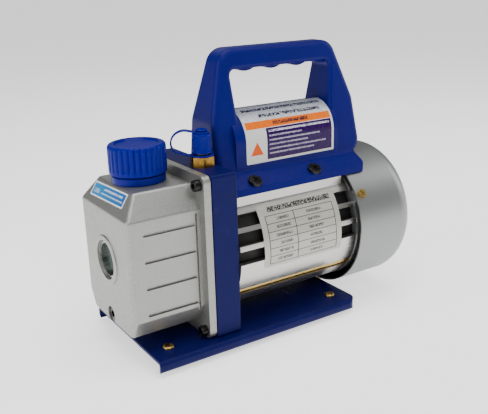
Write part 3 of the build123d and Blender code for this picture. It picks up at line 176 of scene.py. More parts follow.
class Finish(Graph):
    """A surface finish: a Principled shader, and the nodes that feed it."""

    def __init__(self, name, colour, roughness, metallic=0.0, **fixed):
        self.material = bpy.data.materials.new(name)
        self.material.use_nodes = True
        self.tree = self.material.node_tree
        self.tree.nodes.clear()
        self.shader = self.tree.nodes.new("ShaderNodeBsdfPrincipled")
        output = self.tree.nodes.new("ShaderNodeOutputMaterial")
        self.tree.links.new(self.shader.outputs[0], output.inputs["Surface"])
        self.set(Base_Color=(*colour, 1.0), Roughness=roughness, Metallic=metallic, **fixed)

    def set(self, **sockets):
        for name, value in sockets.items():
            self.plug(self.shader.inputs[name.replace("_", " ")], value)

    def place(self):
        return self.add("ShaderNodeTexCoord", {}, {}, "Object")

    def noise(self, size, detail=2.0, stretch=(1.0, 1.0, 1.0)):
        at = self.add("ShaderNodeMapping", {}, {"Vector": self.place(), "Scale": stretch})
        return self.add(
            "ShaderNodeTexNoise", {},
            {"Vector": at, "Scale": 1.0 / size, "Detail": detail, "Roughness": 0.55},
        )

    def spread(self, value, low, high, to_low=0.0, to_high=1.0):
        return self.add(
            "ShaderNodeMapRange", {},
            {"Value": value, "From Min": low, "From Max": high, "To Min": to_low, "To Max": to_high},
        )

    def mix(self, share, plain, other):
        def shade(value):
            return value if isinstance(value, Wire) else (*value, 1.0)

        return self.add(
            "ShaderNodeMix", {"data_type": "RGBA"},
            {"Factor": share, 6: shade(plain), 7: shade(other)}, 2,
        )

    def bump(self, height, depth, strength=1.0):
        self.set(Normal=self.add(
            "ShaderNodeBump", {},
            {"Height": height, "Distance": depth, "Strength": strength}, "Normal",
        ))


floor_half = 60.0
floor_mesh = bpy.data.meshes.new("floor")
floor_mesh.from_pydata(
    [(-floor_half, -floor_half, 0), (floor_half, -floor_half, 0),
     (floor_half, floor_half, 0), (-floor_half, floor_half, 0)],
    [], [(0, 1, 2, 3)],
)
floor = bpy.data.objects.new("floor", floor_mesh)
bpy.context.scene.collection.objects.link(floor)
sweep = Finish("sweep", (0.93, 0.93, 0.93), 0.85, Emission_Strength=1.0)
sweep.set(Base_Color=sweep.mix(sweep.noise(0.2), (0.92, 0.92, 0.92), (0.94, 0.94, 0.94)))
floor_mesh.materials.append(sweep.material)

# Base plate. Steel sheet folded into a shallow channel and powder coated navy, with the
# coat slightly rubbed in patches. The cast bracket that stands on it has the same coat.


def coat_node(finish, *names):
    for name in names:
        mesh = nodes[name].data
        mesh.materials.clear()
        mesh.materials.append(finish.material)


powder = Finish("navy_powder_coat", (0.003, 0.007, 0.08), 0.42, Specular_IOR_Level=0.1)
mottle = powder.noise(0.012, 3.0)
speck = powder.noise(0.0012, 1.0)
rub = powder.spread(powder.noise(0.02, 5.0), 0.62, 0.78)
powder.set(
    Base_Color=powder.mix(
        rub * 0.35, powder.mix(mottle, (0.002, 0.0025, 0.055), (0.003, 0.0045, 0.08)),
        (0.02, 0.026, 0.12),
    ),
    Roughness=powder.spread(mottle, 0.3, 0.7, 0.34, 0.46),
)
powder.bump(speck * 0.7 + powder.noise(0.003, 2.0), 0.00012, 0.8)
coat_node(powder, "base_plate", "bracket_housing")

# Feet. Moulded black rubber, each clamped by a yellow zinc screw and a nut inside.
rubber = Finish("black_rubber", (0.02, 0.02, 0.02), 0.7)
dust = rubber.spread(rubber.noise(0.004, 4.0), 0.45, 0.75)
rubber.set(Base_Color=rubber.mix(dust * 0.5, (0.014, 0.014, 0.015), (0.05, 0.05, 0.05)),
           Roughness=0.62 + dust * 0.2)
rubber.bump(rubber.noise(0.0008), 0.0001, 0.5)
coat_node(rubber, "rubber_feet", "sight_glass_seal", "drain_plug_seal", "exhaust_cap_seal",
          "case_gasket", "shaft_seal")
zinc = Finish("yellow_zinc", (0.62, 0.48, 0.2), 0.3, 1.0)
sheen = zinc.noise(0.003, 3.0)
zinc.set(Base_Color=zinc.mix(sheen, (0.3, 0.2, 0.06), (0.66, 0.46, 0.15)),
         Roughness=zinc.spread(sheen, 0.3, 0.7, 0.22, 0.42))
zinc.bump(zinc.noise(0.0006), 0.00005, 0.6)
coat_node(zinc, "foot_screws", "foot_nuts", "cover_screws", "tie_rods", "tie_rod_nuts")

# Oil case. An aluminium casting with a sand skin, sprayed silver: the grain shows on every
# face, and the paint's tone varies a little in broad random patches.
silver = Finish("sand_silver_paint", (0.42, 0.42, 0.4), 0.4, 0.85)
grain = silver.noise(0.0007, 2.0)
pool = silver.noise(0.02, 2.0)
silver.set(
    Base_Color=silver.mix(silver.spread(grain, 0.35, 0.68),
                          silver.mix(pool, (0.25, 0.25, 0.235), (0.3, 0.3, 0.28)),
                          (0.37, 0.37, 0.35)),
    Roughness=silver.spread(grain, 0.3, 0.7, 0.48, 0.36),
)
silver.bump(grain + silver.noise(0.003) * 0.8, 0.00016, 0.8)
coat_node(silver, "oil_case")

# Fan cover. A drawn steel cup sprayed with smooth silver outside; its inside is painted near black as
# shade.
cover_low, cover_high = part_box("fan_cover")
rim_depth = 0.002
axis_z = (cover_low.z + cover_high.z) / 2
cover_paint = Finish("smooth_silver_paint", (0.5, 0.5, 0.49), 0.32, 0.92)
x, y, z = cover_paint.axes(cover_paint.place())
off_axis = z - axis_z
radius = (y * y + off_axis * off_axis) ** 0.5
facing = cover_paint.add("ShaderNodeTexCoord", {}, {}, "Normal")
faces_x, faces_y, faces_z = cover_paint.axes(facing)
past_rim = x > cover_low.x + rim_depth
# Painted shade: faces that look inwards, past the rim, are coloured near black and not metallic.
inside = (y * faces_y + off_axis * faces_z) / radius + faces_x * past_rim < -0.3
drawn = cover_paint.noise(0.03, 2.0, (0.2, 1.0, 1.0))
cover_paint.set(
    Base_Color=cover_paint.mix(inside,
                               cover_paint.mix(drawn, (0.255, 0.265, 0.26), (0.295, 0.305, 0.3)),
                               (0.012, 0.012, 0.013)),
    Metallic=0.92 - inside * 0.92,
    Roughness=cover_paint.spread(drawn, 0.3, 0.7, 0.4, 0.46),
)
cover_paint.bump(cover_paint.noise(0.0009, 0.0), 0.00001, 0.4)
coat_node(cover_paint, "fan_cover")

# Motor shell. Extruded aluminium with bright drawn bands; the channel floors between them are
# painted near black as shade, darkest at the ends, where the bracket and cover shade them.
shell_low, shell_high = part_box("motor_shell")
bright = Finish("bright_extrusion", (0.8, 0.79, 0.76), 0.24, 1.0)
x, y, z = bright.axes(bright.place())
off_axis = z - axis_z
radius = (y * y + off_axis * off_axis) ** 0.5
# Painted shade: where the radius drops below the bands the floor is coloured near black, fully so near
# both ends.
sunk = bright.spread(radius, 0.0515, 0.0468)
end_gap = bright.maths("MINIMUM", x - shell_low.x, shell_high.x - x)
shade = bright.spread(end_gap, 0.0, 0.022, 1.0, 0.92)
streak = bright.noise(0.0007, 3.0, (0.03, 1.0, 1.0))
bright.set(
    Base_Color=bright.mix(sunk * shade,
                          bright.mix(streak, (0.44, 0.43, 0.4), (0.62, 0.61, 0.57)),
                          (0.02, 0.02, 0.02)),
    Roughness=bright.spread(streak, 0.3, 0.7, 0.26, 0.4) + sunk * 0.25,
)
bright.bump(streak, 0.00001, 0.5)
coat_node(bright, "motor_shell")

# Steel pieces of the motor and pump. Turned and ground bare, with fine tool marks that run
# round the shaft's axis; the reed, springs and clip are hardened strip.
steel = Finish("machined_steel", (0.5, 0.5, 0.5), 0.3, 1.0)
turning = steel.noise(0.0006, 2.0, (1.0, 0.15, 0.15))
steel.set(Base_Color=steel.mix(turning, (0.38, 0.38, 0.38), (0.62, 0.62, 0.61)),
          Roughness=steel.spread(turning, 0.3, 0.7, 0.22, 0.4))
steel.bump(turning, 0.00004, 0.6)
coat_node(steel, "motor_shaft", "front_bearing", "rear_bearing", "pump_rotor", "fan_clip",
          "vane_springs", "exhaust_reed", "reed_stop", "reed_screws", "inlet_pins")

# Iron castings. The pump's cylinder, its end plate and the motor's end shield, faced where
# they meet and open grained elsewhere.
iron = Finish("machined_iron", (0.3, 0.3, 0.31), 0.5, 0.9)
pores = iron.noise(0.0015, 4.0)
iron.set(Base_Color=iron.mix(pores, (0.2, 0.2, 0.21), (0.36, 0.36, 0.37)),
         Roughness=iron.spread(pores, 0.3, 0.7, 0.4, 0.62))
iron.bump(pores, 0.0001, 0.7)
coat_node(iron, "pump_cylinder", "pump_end_plate", "end_shield")

# Laminated cores. Thin steel sheets pressed into a stack on the shaft and in the shell, so
# that their edges show as fine lines.
stack = Finish("lamination_stack", (0.2, 0.2, 0.21), 0.45, 0.8)
x, y, z = stack.axes(stack.place())
seam = abs((x / 0.0005) % 1.0 - 0.5)
stack.set(Base_Color=stack.mix(seam * 2.0, (0.1, 0.1, 0.11), (0.3, 0.3, 0.31)))
stack.bump(seam, 0.0001)
coat_node(stack, "stator_core", "motor_rotor")

# Windings. Enamelled copper wire laid in bundles through the core's slots and tied at the
# ends.
copper = Finish("enamelled_copper", (0.5, 0.16, 0.05), 0.32, 0.9)
strand = abs((copper.noise(0.02, 0.0) * 14.0) % 1.0 - 0.5)
copper.set(Base_Color=copper.mix(strand * 2.0, (0.28, 0.08, 0.03), (0.62, 0.22, 0.08)))
copper.bump(strand, 0.0004)
coat_node(copper, "stator_windings")

# Vanes. Two blades of pressed carbon that slide in the rotor's slots and wear to the
# cylinder's wall.
carbon = Finish("carbon_vane", (0.03, 0.03, 0.035), 0.5)
flake = carbon.noise(0.0008, 4.0)
carbon.set(Base_Color=carbon.mix(flake, (0.018, 0.018, 0.02), (0.06, 0.06, 0.065)))
carbon.bump(flake, 0.00005)
coat_node(carbon, "vane_near", "vane_far")

# Small fasteners. Alloy steel screws with an oiled black oxide skin, which hold the case to
# the bracket, the handle to the shell and the pump's end plate to its cylinder.
oxide = Finish("black_oxide", (0.03, 0.03, 0.03), 0.35, 0.8)
skin = oxide.noise(0.002, 4.0)
oxide.set(Base_Color=oxide.mix(skin, (0.008, 0.008, 0.008), (0.03, 0.029, 0.027)),
          Roughness=oxide.spread(skin, 0.3, 0.7, 0.18, 0.32))
oxide.bump(oxide.noise(0.0005), 0.00004, 0.7)
coat_node(oxide, "case_bolts", "handle_screws", "bracket_bolts", "pump_bolts")

# Handle. One moulding in blue plastic with a fine eroded texture, screwed to the motor
# shell. It hides a capacitor and carries the switch and the power inlet at the rear.
blue = Finish("handle_plastic", (0.001, 0.0015, 0.13), 0.4, 0.0, Specular_IOR_Level=0.14)
cell = blue.noise(0.0007, 2.0)
flow = blue.noise(0.03, 2.0)
blue.set(Base_Color=blue.mix(flow, (0.0006, 0.0006, 0.1), (0.001, 0.001, 0.13)),
         Roughness=blue.spread(cell, 0.3, 0.7, 0.36, 0.5))
blue.bump(cell, 0.00016, 0.8)
coat_node(blue, "handle")

# Black mouldings. The power inlet and the switch snap into the handle's rear, the fan is
# pressed on the shaft, and the capacitor's can has the same matt skin.
black = Finish("black_moulding", (0.02, 0.02, 0.02), 0.45)
matte = black.noise(0.0007, 2.0)
black.set(Base_Color=black.mix(matte, (0.012, 0.012, 0.012), (0.035, 0.035, 0.035)),
          Roughness=black.spread(matte, 0.3, 0.7, 0.38, 0.55))
black.bump(matte, 0.00008, 0.7)
coat_node(black, "power_inlet", "switch_body", "switch_rocker", "cooling_fan", "capacitor")

# Filler cap. A glossy blue moulding that screws into the neck on the oil case. Its skirt has
# thirty grip ribs with furrows between them, and its top is dished.
gloss = Finish("glossy_blue", (0.0008, 0.0015, 0.18), 0.32, 0.0, Specular_IOR_Level=0.12)
wave = gloss.noise(0.008, 2.0)
gloss.set(Base_Color=gloss.mix(wave, (0.0006, 0.001, 0.16), (0.001, 0.002, 0.21)),
          Roughness=gloss.spread(wave, 0.3, 0.7, 0.3, 0.42))
gloss.bump(gloss.noise(0.0015, 2.0), 0.00006, 0.7)
coat_node(gloss, "filler_neck")


def smooth_faces(mesh, sharp):
    mesh.polygons.foreach_set("use_smooth", [True] * len(mesh.polygons))
    mesh.set_sharp_from_angle(angle=radians(sharp))


class Shape(Graph):
    """A Geometry Nodes tree with named sizes. It is run once on a mesh to give a piece."""

    def __init__(self, name, sizes):
        self.tree = bpy.data.node_groups.new(name, "GeometryNodeTree")
        sockets = self.tree.interface
        sockets.new_socket("Geometry", in_out="INPUT", socket_type="NodeSocketGeometry")
        self.inputs = {}
        for label, value in sizes.items():
            socket = sockets.new_socket(label, in_out="INPUT", socket_type="NodeSocketFloat")
            socket.default_value = value
            self.inputs[label] = socket.identifier
        sockets.new_socket("Geometry", in_out="OUTPUT", socket_type="NodeSocketGeometry")
        start = self.tree.nodes.new("NodeGroupInput")
        self.given = {socket.name: Wire(self, socket) for socket in start.outputs if socket.name}

    def close(self, geometry, finish):
        whole = self.add("GeometryNodeRealizeInstances", {}, {"Geometry": geometry})
        coated = self.add("GeometryNodeSetMaterial", {},
                          {"Geometry": whole, "Material": finish.material})
        end = self.tree.nodes.new("NodeGroupOutput")
        self.plug(end.inputs[0], coated)

    def make(self, name, mesh, sizes, middle=(0.0, 0.0, 0.0), sharp=30.0):
        piece = bpy.data.objects.new(name, mesh)
        bpy.context.scene.collection.objects.link(piece)
        run = piece.modifiers.new("shape", "NODES")
        run.node_group = self.tree
        for label, value in sizes.items():
            run[self.inputs[label]] = value
        ready = piece.evaluated_get(bpy.context.evaluated_depsgraph_get())
        made = bpy.data.meshes.new_from_object(ready)
        piece.modifiers.remove(run)
        piece.data = made
        made.transform(Matrix.Translation(middle))
        smooth_faces(made, sharp)
        return piece


def turned(name, profile, steps):
    """Mesh turned about Z from (radius, height) points that start and end on the axis."""
    work = bmesh.new()
    rings = []
    for radius, height in profile:
        if radius == 0.0:
            rings.append([work.verts.new((0.0, 0.0, height))])
        else:
            rings.append([
                work.verts.new((radius * cos(tau * i / steps), radius * sin(tau * i / steps), height))
                for i in range(steps)
            ])
    for low, high in zip(rings, rings[1:]):
        for i in range(steps):
            j = (i + 1) % steps
            corners = [low[i % len(low)], low[j % len(low)], high[j % len(high)], high[i % len(high)]]
            work.faces.new(list(dict.fromkeys(corners)))
    bmesh.ops.recalc_face_normals(work, faces=work.faces)
    mesh = bpy.data.meshes.new(name)
    work.to_mesh(mesh)
    work.free()
    return mesh


ribbed = Shape("grip_ribs", {"Ribs": 30.0, "Depth": 0.0008, "Skin Radius": 0.019,
                             "Low": 0.003, "High": 0.019, "Fade": 0.0008, "Crispness": 8.0})
ribs, depth, skin, low, high, fade, crisp = (
    ribbed.given[label] for label in
    ("Ribs", "Depth", "Skin Radius", "Low", "High", "Fade", "Crispness")
)
x, y, z = ribbed.axes(ribbed.add("GeometryNodeInputPosition", {}, {}))
radius = (x * x + y * y) ** 0.5
turn = ribbed.maths("ARCTAN2", y, x)
furrow = abs(ribbed.maths("COSINE", turn * ribs * 0.5)) ** crisp
rise = ribbed.maths("MINIMUM", ribbed.maths("MAXIMUM", (z - low) / fade, 0.0), 1.0)
fall = ribbed.maths("MINIMUM", ribbed.maths("MAXIMUM", (high - z) / fade, 0.0), 1.0)
scale = 1.0 - furrow * rise * fall * (radius > skin) * depth / (radius + 0.00001)
moved = ribbed.add("ShaderNodeCombineXYZ", {}, {0: x * scale, 1: y * scale, 2: z})
ribbed.close(ribbed.add("GeometryNodeSetPosition", {},
                        {"Geometry": ribbed.given["Geometry"], "Position": moved}), gloss)

cap_low, cap_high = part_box("exhaust_cap")
cap_r = (cap_high.x - cap_low.x) / 2
cap_tall = cap_high.z - cap_low.z
cap_bore = 0.0176
cap_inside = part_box("exhaust_cap_seal")[1].z - cap_low.z + 0.0001
dish = cap_r - 0.0052
skirt = [(cap_r, 0.0008 + (cap_tall - 0.0034) * i / 24) for i in range(25)]
shoulder = [(cap_r - 0.0026 * (1 - cos(a)), cap_tall - 0.0026 * (1 - sin(a)))
            for a in (radians(t) for t in (15, 35, 55, 75, 90))]
filler_cap = ribbed.make(
    "filler_cap_moulding",
    turned("filler_cap_moulding",
           [(0.0, cap_tall - 0.0014), (dish - 0.0009, cap_tall - 0.0014), (dish, cap_tall - 0.0006),
            (dish + 0.0004, cap_tall)] + shoulder[::-1] + skirt[::-1]
           + [(cap_r - 0.0007, 0.0), (cap_bore, 0.0), (cap_bore, cap_inside), (0.0, cap_inside)],
           360),
    {"Ribs": 30.0, "Depth": 0.0011, "Skin Radius": cap_r - 0.003, "Low": 0.0022,
     "High": cap_tall - 0.0004, "Fade": 0.0016, "Crispness": 7.0},
    ((cap_low.x + cap_high.x) / 2, (cap_low.y + cap_high.y) / 2, cap_low.z), 38.0,
)
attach(filler_cap, "filler_cap")
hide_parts("exhaust_cap")

# Dust cap. A smaller moulding in the same blue, pushed over the fitting's flare. It has fine
# ribs and a button on top, which the strap's eye goes round.
dust_low, dust_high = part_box("intake_cap")
dust_r = (dust_high.x - dust_low.x) / 2
dust_tall = dust_high.z - dust_low.z
dust_bore = 0.0057
dust_inside = 0.0118
skirt = [(dust_r - 0.0006, 0.0018 + 0.0108 * i / 10) for i in range(11)]
dust_cap = ribbed.make(
    "dust_cap_moulding",
    turned("dust_cap_moulding",
           [(0.0, dust_tall), (0.0040, dust_tall), (0.0044, dust_tall - 0.0004),
            (0.0042, dust_tall - 0.001), (0.0024, dust_tall - 0.0011),
            (0.0024, dust_tall - 0.003), (dust_r - 0.0024, dust_tall - 0.003),
            (dust_r - 0.0012, dust_tall - 0.0034), (dust_r - 0.0006, dust_tall - 0.0044)]
           + skirt[::-1]
           + [(dust_r - 0.0005, 0.0015), (dust_r, 0.0013), (dust_r, 0.0002), (dust_r - 0.0002, 0.0),
              (dust_bore, 0.0), (dust_bore, dust_inside), (0.0, dust_inside)],
           288),
    {"Ribs": 36.0, "Depth": 0.00028, "Skin Radius": dust_r - 0.002, "Low": 0.0018,
     "High": 0.0128, "Fade": 0.0006, "Crispness": 2.0},
    ((dust_low.x + dust_high.x) / 2, (dust_low.y + dust_high.y) / 2, dust_low.z), 38.0,
)
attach(dust_cap, "intake_cap")
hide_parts("intake_cap")

# Cap strap. A soft flat band moulded in one with a ring under the cap and an eye over its
# button.
ring_middle = Vector(((dust_low.x + dust_high.x) / 2, (dust_low.y + dust_high.y) / 2, 0.0))
ring_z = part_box("cap_strap")[0].z
eye_z = dust_high.z - 0.0029
outward = Vector((-0.87, 0.49, 0.0)).normalized()
band = Shape("strap_band", {"Width": 0.0042, "Thickness": 0.0013})
line = band.add("GeometryNodeMeshToCurve", {}, {0: band.given["Geometry"]})
line = band.add("GeometryNodeCurveSplineType", {"spline_type": "CATMULL_ROM"}, {0: line})
line = band.add("GeometryNodeResampleCurve", {}, {"Curve": line, "Count": 64})
line = band.add("GeometryNodeSetCurveNormal", {"mode": "Z_UP"}, {0: line})
section = band.add("GeometryNodeCurvePrimitiveQuadrilateral", {},
                   {"Width": band.given["Width"], "Height": band.given["Thickness"]})
section = band.add("GeometryNodeFilletCurve", {},
                   {"Curve": section, "Radius": band.given["Thickness"] * 0.3})
band.close(band.add("GeometryNodeCurveToMesh", {},
                    {"Curve": line, "Profile Curve": section, "Fill Caps": True}), gloss)
route = [(0.0046, eye_z + 0.0007), (0.0085, eye_z + 0.0016), (0.0135, eye_z + 0.0022),
         (0.0185, eye_z + 0.0004), (0.0218, eye_z - 0.0034), (0.0226, eye_z - 0.0082),
         (0.0206, eye_z - 0.0126), (0.0168, ring_z + 0.0028), (0.0122, ring_z + 0.0010),
         (0.0082, ring_z + 0.0006)]
route_mesh = bpy.data.meshes.new("strap_route")
route_mesh.from_pydata([ring_middle + outward * out + Vector((0, 0, z)) for out, z in route],
                       [(i, i + 1) for i in range(len(route) - 1)], [])
strap = band.make("cap_strap_band", route_mesh, {})
hoops = bmesh.new()
hoops.from_mesh(strap.data)
hoop_steps = 72
ring_hoop = (0.0052, 0.0089, ring_z, 0.0012)
eye_hoop = (0.0027, 0.0054, eye_z, 0.0013)
for inner, outer, low_z, thick in (ring_hoop, eye_hoop):
    loop = [(inner, low_z), (outer - 0.0002, low_z), (outer, low_z + 0.0003),
            (outer, low_z + thick - 0.0003), (outer - 0.0002, low_z + thick), (inner, low_z + thick)]
    rings = [[hoops.verts.new(ring_middle + Vector((r * cos(tau * i / hoop_steps),
                                                    r * sin(tau * i / hoop_steps), z)))
              for i in range(hoop_steps)] for r, z in loop]
    faces = []
    for one, other in zip(rings, rings[1:] + rings[:1]):
        for i in range(hoop_steps):
            j = (i + 1) % hoop_steps
            faces.append(hoops.faces.new((one[i], one[j], other[j], other[i])))
    bmesh.ops.recalc_face_normals(hoops, faces=faces)
hoops.to_mesh(strap.data)
hoops.free()
smooth_faces(strap.data, 40.0)
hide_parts("cap_strap")
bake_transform(strap)

# Intake fitting. A brass hex with a flare, turned from bar and screwed into the bracket's
# top; the flats are slightly tarnished.
brass = Finish("turned_brass", (0.55, 0.36, 0.11), 0.28, 1.0)
tarnish = brass.noise(0.004, 4.0)
brass.set(Base_Color=brass.mix(tarnish, (0.12, 0.06, 0.01), (0.34, 0.2, 0.045)),
          Roughness=brass.spread(tarnish, 0.3, 0.7, 0.38, 0.2))
brass.bump(brass.noise(0.0006, 2.0, (0.2, 0.2, 1.0)), 0.00005, 0.7)
coat_node(brass, "intake_fitting")

# Screens. Woven wire in the intake passage and a pad of the same wire in the exhaust neck,
# each pressed into its bore.
mesh_metal = Finish("wire_mesh", (0.4, 0.4, 0.38), 0.4, 0.9)
x, y, z = mesh_metal.axes(mesh_metal.place())
weave = abs((x / 0.0008) % 1.0 - 0.5) + abs((y / 0.0008) % 1.0 - 0.5)
mesh_metal.set(Base_Color=mesh_metal.mix(weave, (0.08, 0.08, 0.08), (0.55, 0.55, 0.52)))
mesh_metal.bump(weave, 0.0003)
coat_node(mesh_metal, "intake_screen", "exhaust_filter")

# Sight glass. A disc coloured deep dark green and not see-through, standing in for the glass and the dark
# behind it. A plated ring
# with two slots screws in and holds it on its seal.
glass = Finish("sight_glass", (0.01, 0.02, 0.017), 0.3, Specular_IOR_Level=0.12)
film = glass.noise(0.02, 1.0)
glass.set(Roughness=glass.spread(film, 0.4, 0.8, 0.24, 0.3),
          Base_Color=glass.mix(film, (0.006, 0.016, 0.012), (0.012, 0.03, 0.022)))
coat_node(glass, "sight_glass")
plated = Finish("bright_plating", (0.45, 0.45, 0.44), 0.22, 1.0)
cloud = plated.noise(0.01, 1.0)
plated.set(Base_Color=plated.mix(cloud, (0.36, 0.36, 0.35), (0.5, 0.5, 0.49)),
           Roughness=plated.spread(cloud, 0.3, 0.7, 0.2, 0.28))
plated.bump(plated.noise(0.001, 1.0), 0.00001, 0.4)
coat_node(plated, "sight_glass_ring")

# Drain plug. A socket screw in black oxide like the case's, low on the front of the case, with
# a rubber seal behind its head.
coat_node(oxide, "drain_plug")

# Case badge. A blue printed film with a pale rim and two pale lines, stuck on the slope
# above the sight glass. Like the other labels, its print is broken lines and no words.


def label(name, width, height, corner, onto, finish, body, columns=48, thick=0.00018):
    """Closed thin sheet with round corners. onto(across, up, lift) places each point."""
    levels = []
    for i in range(6):
        t = radians(90) * i / 5
        levels.append((-height / 2 + corner * (1 - cos(t)), corner * (1 - sin(t))))
    middle = [(-height / 2 + corner + (height - 2 * corner) * i / 30, 0.0) for i in range(1, 30)]
    levels = levels + middle + [(-up_at, cut) for up_at, cut in levels[::-1]]
    work = bmesh.new()
    sheets = []
    for lift in (thick, 0.00002):
        sheets.append([
            [work.verts.new(onto((width / 2 - cut) * (2 * i / columns - 1), at, lift))
             for i in range(columns + 1)]
            for at, cut in levels
        ])
    spots = {}
    for sheet in sheets:
        for (at, cut), row in zip(levels, sheet):
            for i, point in enumerate(row):
                across = (width / 2 - cut) * (2 * i / columns - 1)
                spots[point] = (across / width + 0.5, at / height + 0.5)
    front, back = sheets
    for r in range(len(levels) - 1):
        for i in range(columns):
            work.faces.new((front[r][i], front[r][i + 1], front[r + 1][i + 1], front[r + 1][i]))
            work.faces.new((back[r][i], back[r + 1][i], back[r + 1][i + 1], back[r][i + 1]))
        for i in (0, columns):
            work.faces.new((front[r][i], front[r + 1][i], back[r + 1][i], back[r][i]))
    for r in (0, len(levels) - 1):
        for i in range(columns):
            work.faces.new((front[r][i], front[r][i + 1], back[r][i + 1], back[r][i]))
    bmesh.ops.recalc_face_normals(work, faces=work.faces)
    print_map = work.loops.layers.uv.new("print")
    for face in work.faces:
        for corner_loop in face.loops:
            corner_loop[print_map].uv = spots[corner_loop.vert]
    mesh = bpy.data.meshes.new(name)
    work.to_mesh(mesh)
    work.free()
    mesh.materials.append(finish.material)
    smooth_faces(mesh, 40.0)
    piece = bpy.data.objects.new(name, mesh)
    bpy.context.scene.collection.objects.link(piece)
    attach(piece, body)
    return piece


def within(finish, value, low, high):
    """1 where the value lies between low and high, else 0."""
    return (value > low) * (value < high)


def printed_line(finish, u, v, left, end, middle, tall, letter, seed):
    """A broken line of print, as a 0 to 1 mask."""
    ticks = finish.add("ShaderNodeCombineXYZ", {}, {0: u / letter, 1: v / tall * 2.2, 2: seed})
    broken = finish.add("ShaderNodeTexNoise", {},
                        {"Vector": ticks, "Scale": 1.0, "Detail": 1.0}) > 0.44
    return broken * within(finish, u, left, end) * within(finish, v, middle - tall / 2, middle + tall / 2)


def print_place(finish):
    return finish.axes(finish.add("ShaderNodeUVMap", {"uv_map": "print"}, {}))[:2]


def either(finish, *masks):
    total = masks[0]
    for mask in masks[1:]:
        total = finish.maths("MAXIMUM", total, mask)
    return total


slope_low_z = 0.1148
slope_run, slope_rise = 0.0114, 0.0170
slope_length = sqrt(slope_run ** 2 + slope_rise ** 2)
slope_foot_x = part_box("oil_case")[0].x + 0.0010
badge_up = 0.0121
badge_middle_y = 0.0017
turned_by = radians(2.2)
badge_print = Finish("badge_print", (0.05, 0.3, 0.6), 0.3, Specular_IOR_Level=0.4)
u, v = print_place(badge_print)
rim = 1.0 - within(badge_print, u, 0.02, 0.98) * within(badge_print, v, 0.1, 0.9)
words = either(badge_print,
               printed_line(badge_print, u, v, 0.34, 0.9, 0.66, 0.14, 0.012, 1.7),
               printed_line(badge_print, u, v, 0.3, 0.94, 0.36, 0.1, 0.008, 5.3),
               printed_line(badge_print, u, v, 0.07, 0.24, 0.42, 0.3, 0.02, 3.1) * 0.6)
badge_print.set(
    Base_Color=badge_print.mix(
        badge_print.maths("MAXIMUM", rim, words * 0.75),
        badge_print.mix(u + badge_print.noise(0.02) * 0.3 - 0.15,
                        (0.008, 0.22, 0.5), (0.006, 0.1, 0.36)),
        (0.75, 0.8, 0.82),
    ),
    Roughness=0.28 + badge_print.noise(0.004) * 0.1,
)
badge_print.bump(words, 0.00001, 0.3)


def on_slope(across, up_by, lift):
    a = across * cos(turned_by) - up_by * sin(turned_by)
    b = across * sin(turned_by) + up_by * cos(turned_by) + badge_up
    return Vector((
        slope_foot_x + (slope_run * b - slope_rise * lift) / slope_length,
        badge_middle_y - a,
        slope_low_z + (slope_rise * b + slope_run * lift) / slope_length,
    ))


badge = label("case_badge", 0.0555, 0.0112, 0.0006, on_slope, badge_print, "housing")

# Rating plate. A brushed silver film bent over the motor's bands, printed in black with a
# broken heading line and a ruled table of two columns.
plate_print = Finish("rating_plate_print", (0.6, 0.58, 0.52), 0.34, 0.25)
u, v = print_place(plate_print)
rows = 6
table_low, table_high = 0.05, 0.79
table_left, table_end = 0.07, 0.93
column = 0.42
pen_u, pen_v = 0.0045, 0.0065
row_at = (v - table_low) * (rows / (table_high - table_low))
ruled = (abs(((row_at + 0.5) % 1.0) - 0.5) < pen_v * rows) * within(
    plate_print, v, table_low - pen_v, table_high + pen_v)
ruled = ruled * within(plate_print, u, table_left, table_end)
posts = either(plate_print, *[within(plate_print, u, at - pen_u, at + pen_u)
                              for at in (table_left, column, table_end)])
posts = posts * within(plate_print, v, table_low, table_high)
entries = [printed_line(plate_print, u, v, 0.12, 0.93, 0.885, 0.085, 0.011, 2.9)]
for i in range(rows):
    at = table_low + (table_high - table_low) * (i + 0.5) / rows
    entries.append(printed_line(plate_print, u, v, 0.16 + 0.02 * (i % 3), 0.36, at, 0.045, 0.007,
                                11.3 + 2.1 * i) * 0.8)
    entries.append(printed_line(plate_print, u, v, 0.58, 0.74 + 0.03 * (i % 2), at, 0.045, 0.008,
                                31.7 + 1.9 * i) * 0.8)
ink = either(plate_print, ruled, posts, *entries)
foil = plate_print.noise(0.003, 3.0, (0.2, 1.0, 1.0))
plate_print.set(
    Base_Color=plate_print.mix(
        ink,
        plate_print.mix(foil, (0.4, 0.39, 0.34), (0.5, 0.485, 0.43)),
        (0.012, 0.012, 0.012),
    ),
    Roughness=plate_print.spread(foil, 0.3, 0.7, 0.28, 0.42),
)
plate_print.bump(foil, 0.00002, 0.4)
plate_r = 0.05235
plate_turn = radians((42.8 - 13.2) / 2)
plate_middle_x = 0.0146


def on_bands(across, up_by, lift):
    angle = plate_turn + up_by / plate_r
    reach = plate_r + lift
    return Vector((plate_middle_x + across, -reach * cos(angle), axis_z + reach * sin(angle)))


plate = label("rating_plate", 0.0752, 0.0512, 0.0022, on_bands, plate_print, "housing")

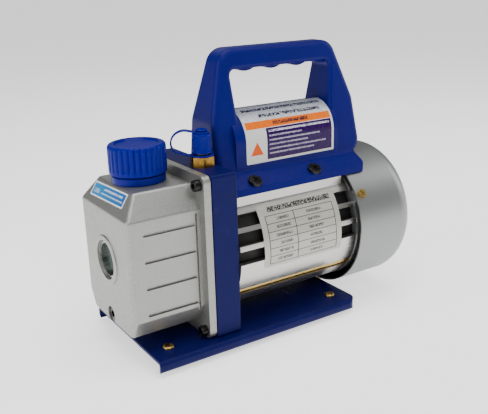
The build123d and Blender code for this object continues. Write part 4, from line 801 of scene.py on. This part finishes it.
# Handle label. A printed film over the round of the handle: a silver heading, an orange band,
# a white corner with a plain orange triangle, and a violet panel with pale lines.
handle_print = Finish("handle_label_print", (0.7, 0.7, 0.7), 0.26, Specular_IOR_Level=0.2)
u, v = print_place(handle_print)
band_low, band_high = 0.51, 0.625
foil_top = v > band_high
printed_area = within(handle_print, u, 0.02, 0.98) * within(handle_print, v, 0.035, 0.98)
orange_band = within(handle_print, v, band_low, band_high) * printed_area
violet = within(handle_print, v, 0.035, 0.50) * within(handle_print, u, 0.225, 0.975)
triangle_low, triangle_tall, triangle_middle = 0.12, 0.2, 0.115
above = v - triangle_low
triangle = within(handle_print, above, 0.0, triangle_tall) * (
    abs(u - triangle_middle) < (triangle_tall - above) * 0.34)
heading = either(handle_print,
                 printed_line(handle_print, u, v, 0.06, 0.95, 0.855, 0.07, 0.011, 4.1),
                 printed_line(handle_print, u, v, 0.2, 0.9, 0.71, 0.06, 0.010, 7.7))
band_words = printed_line(handle_print, u, v, 0.32, 0.72, 0.568, 0.055, 0.011, 9.9)
lines = [printed_line(handle_print, u, v, 0.25, 0.95, 0.455, 0.032, 0.008, 3.3)]
for i in range(5):
    lines.append(printed_line(handle_print, u, v, 0.25, 0.62 + 0.07 * ((i * 3) % 5),
                              0.385 - 0.066 * i, 0.024, 0.006, 17.3 + 3.7 * i) * 0.65)
film = handle_print.noise(0.004, 2.0)
base_print = handle_print.mix(foil_top, (0.6, 0.6, 0.58),
                              handle_print.mix(handle_print.spread(v, 0.6, 1.0), (0.66, 0.68, 0.7),
                                               (0.42, 0.45, 0.5)))
base_print = handle_print.mix(orange_band, base_print, (0.75, 0.14, 0.0))
base_print = handle_print.mix(violet, base_print, (0.02, 0.001, 0.06))
base_print = handle_print.mix(triangle, base_print, (0.68, 0.085, 0.0))
base_print = handle_print.mix(heading, base_print, (0.01, 0.01, 0.05))
base_print = handle_print.mix(band_words, base_print, (0.04, 0.015, 0.03))
base_print = handle_print.mix(either(handle_print, *lines) * violet, base_print, (0.62, 0.6, 0.7))
handle_print.set(
    Base_Color=base_print,
    Roughness=handle_print.spread(film, 0.3, 0.7, 0.22, 0.32),
    Metallic=foil_top * 0.35,
)
handle_print.bump(film, 0.000005, 0.3)
bulge_r, bulge_z = 0.0239, 0.1505
label_low, label_high = 0.0536, 0.0012
label_left, label_end = -0.0188, 0.0666


def on_bulge(across, up_by, lift):
    run = (label_low + label_high) / 2 - up_by
    reach = bulge_r + lift
    past = max(0.0, run - bulge_r * pi / 2)
    angle = min(run / bulge_r, pi / 2)
    return Vector(((label_left + label_end) / 2 + across, -reach * sin(angle),
                   bulge_z + reach * cos(angle) - past))


handle_label = label("handle_label", label_end - label_left, label_low - label_high, 0.001,
                     on_bulge, handle_print, "housing")
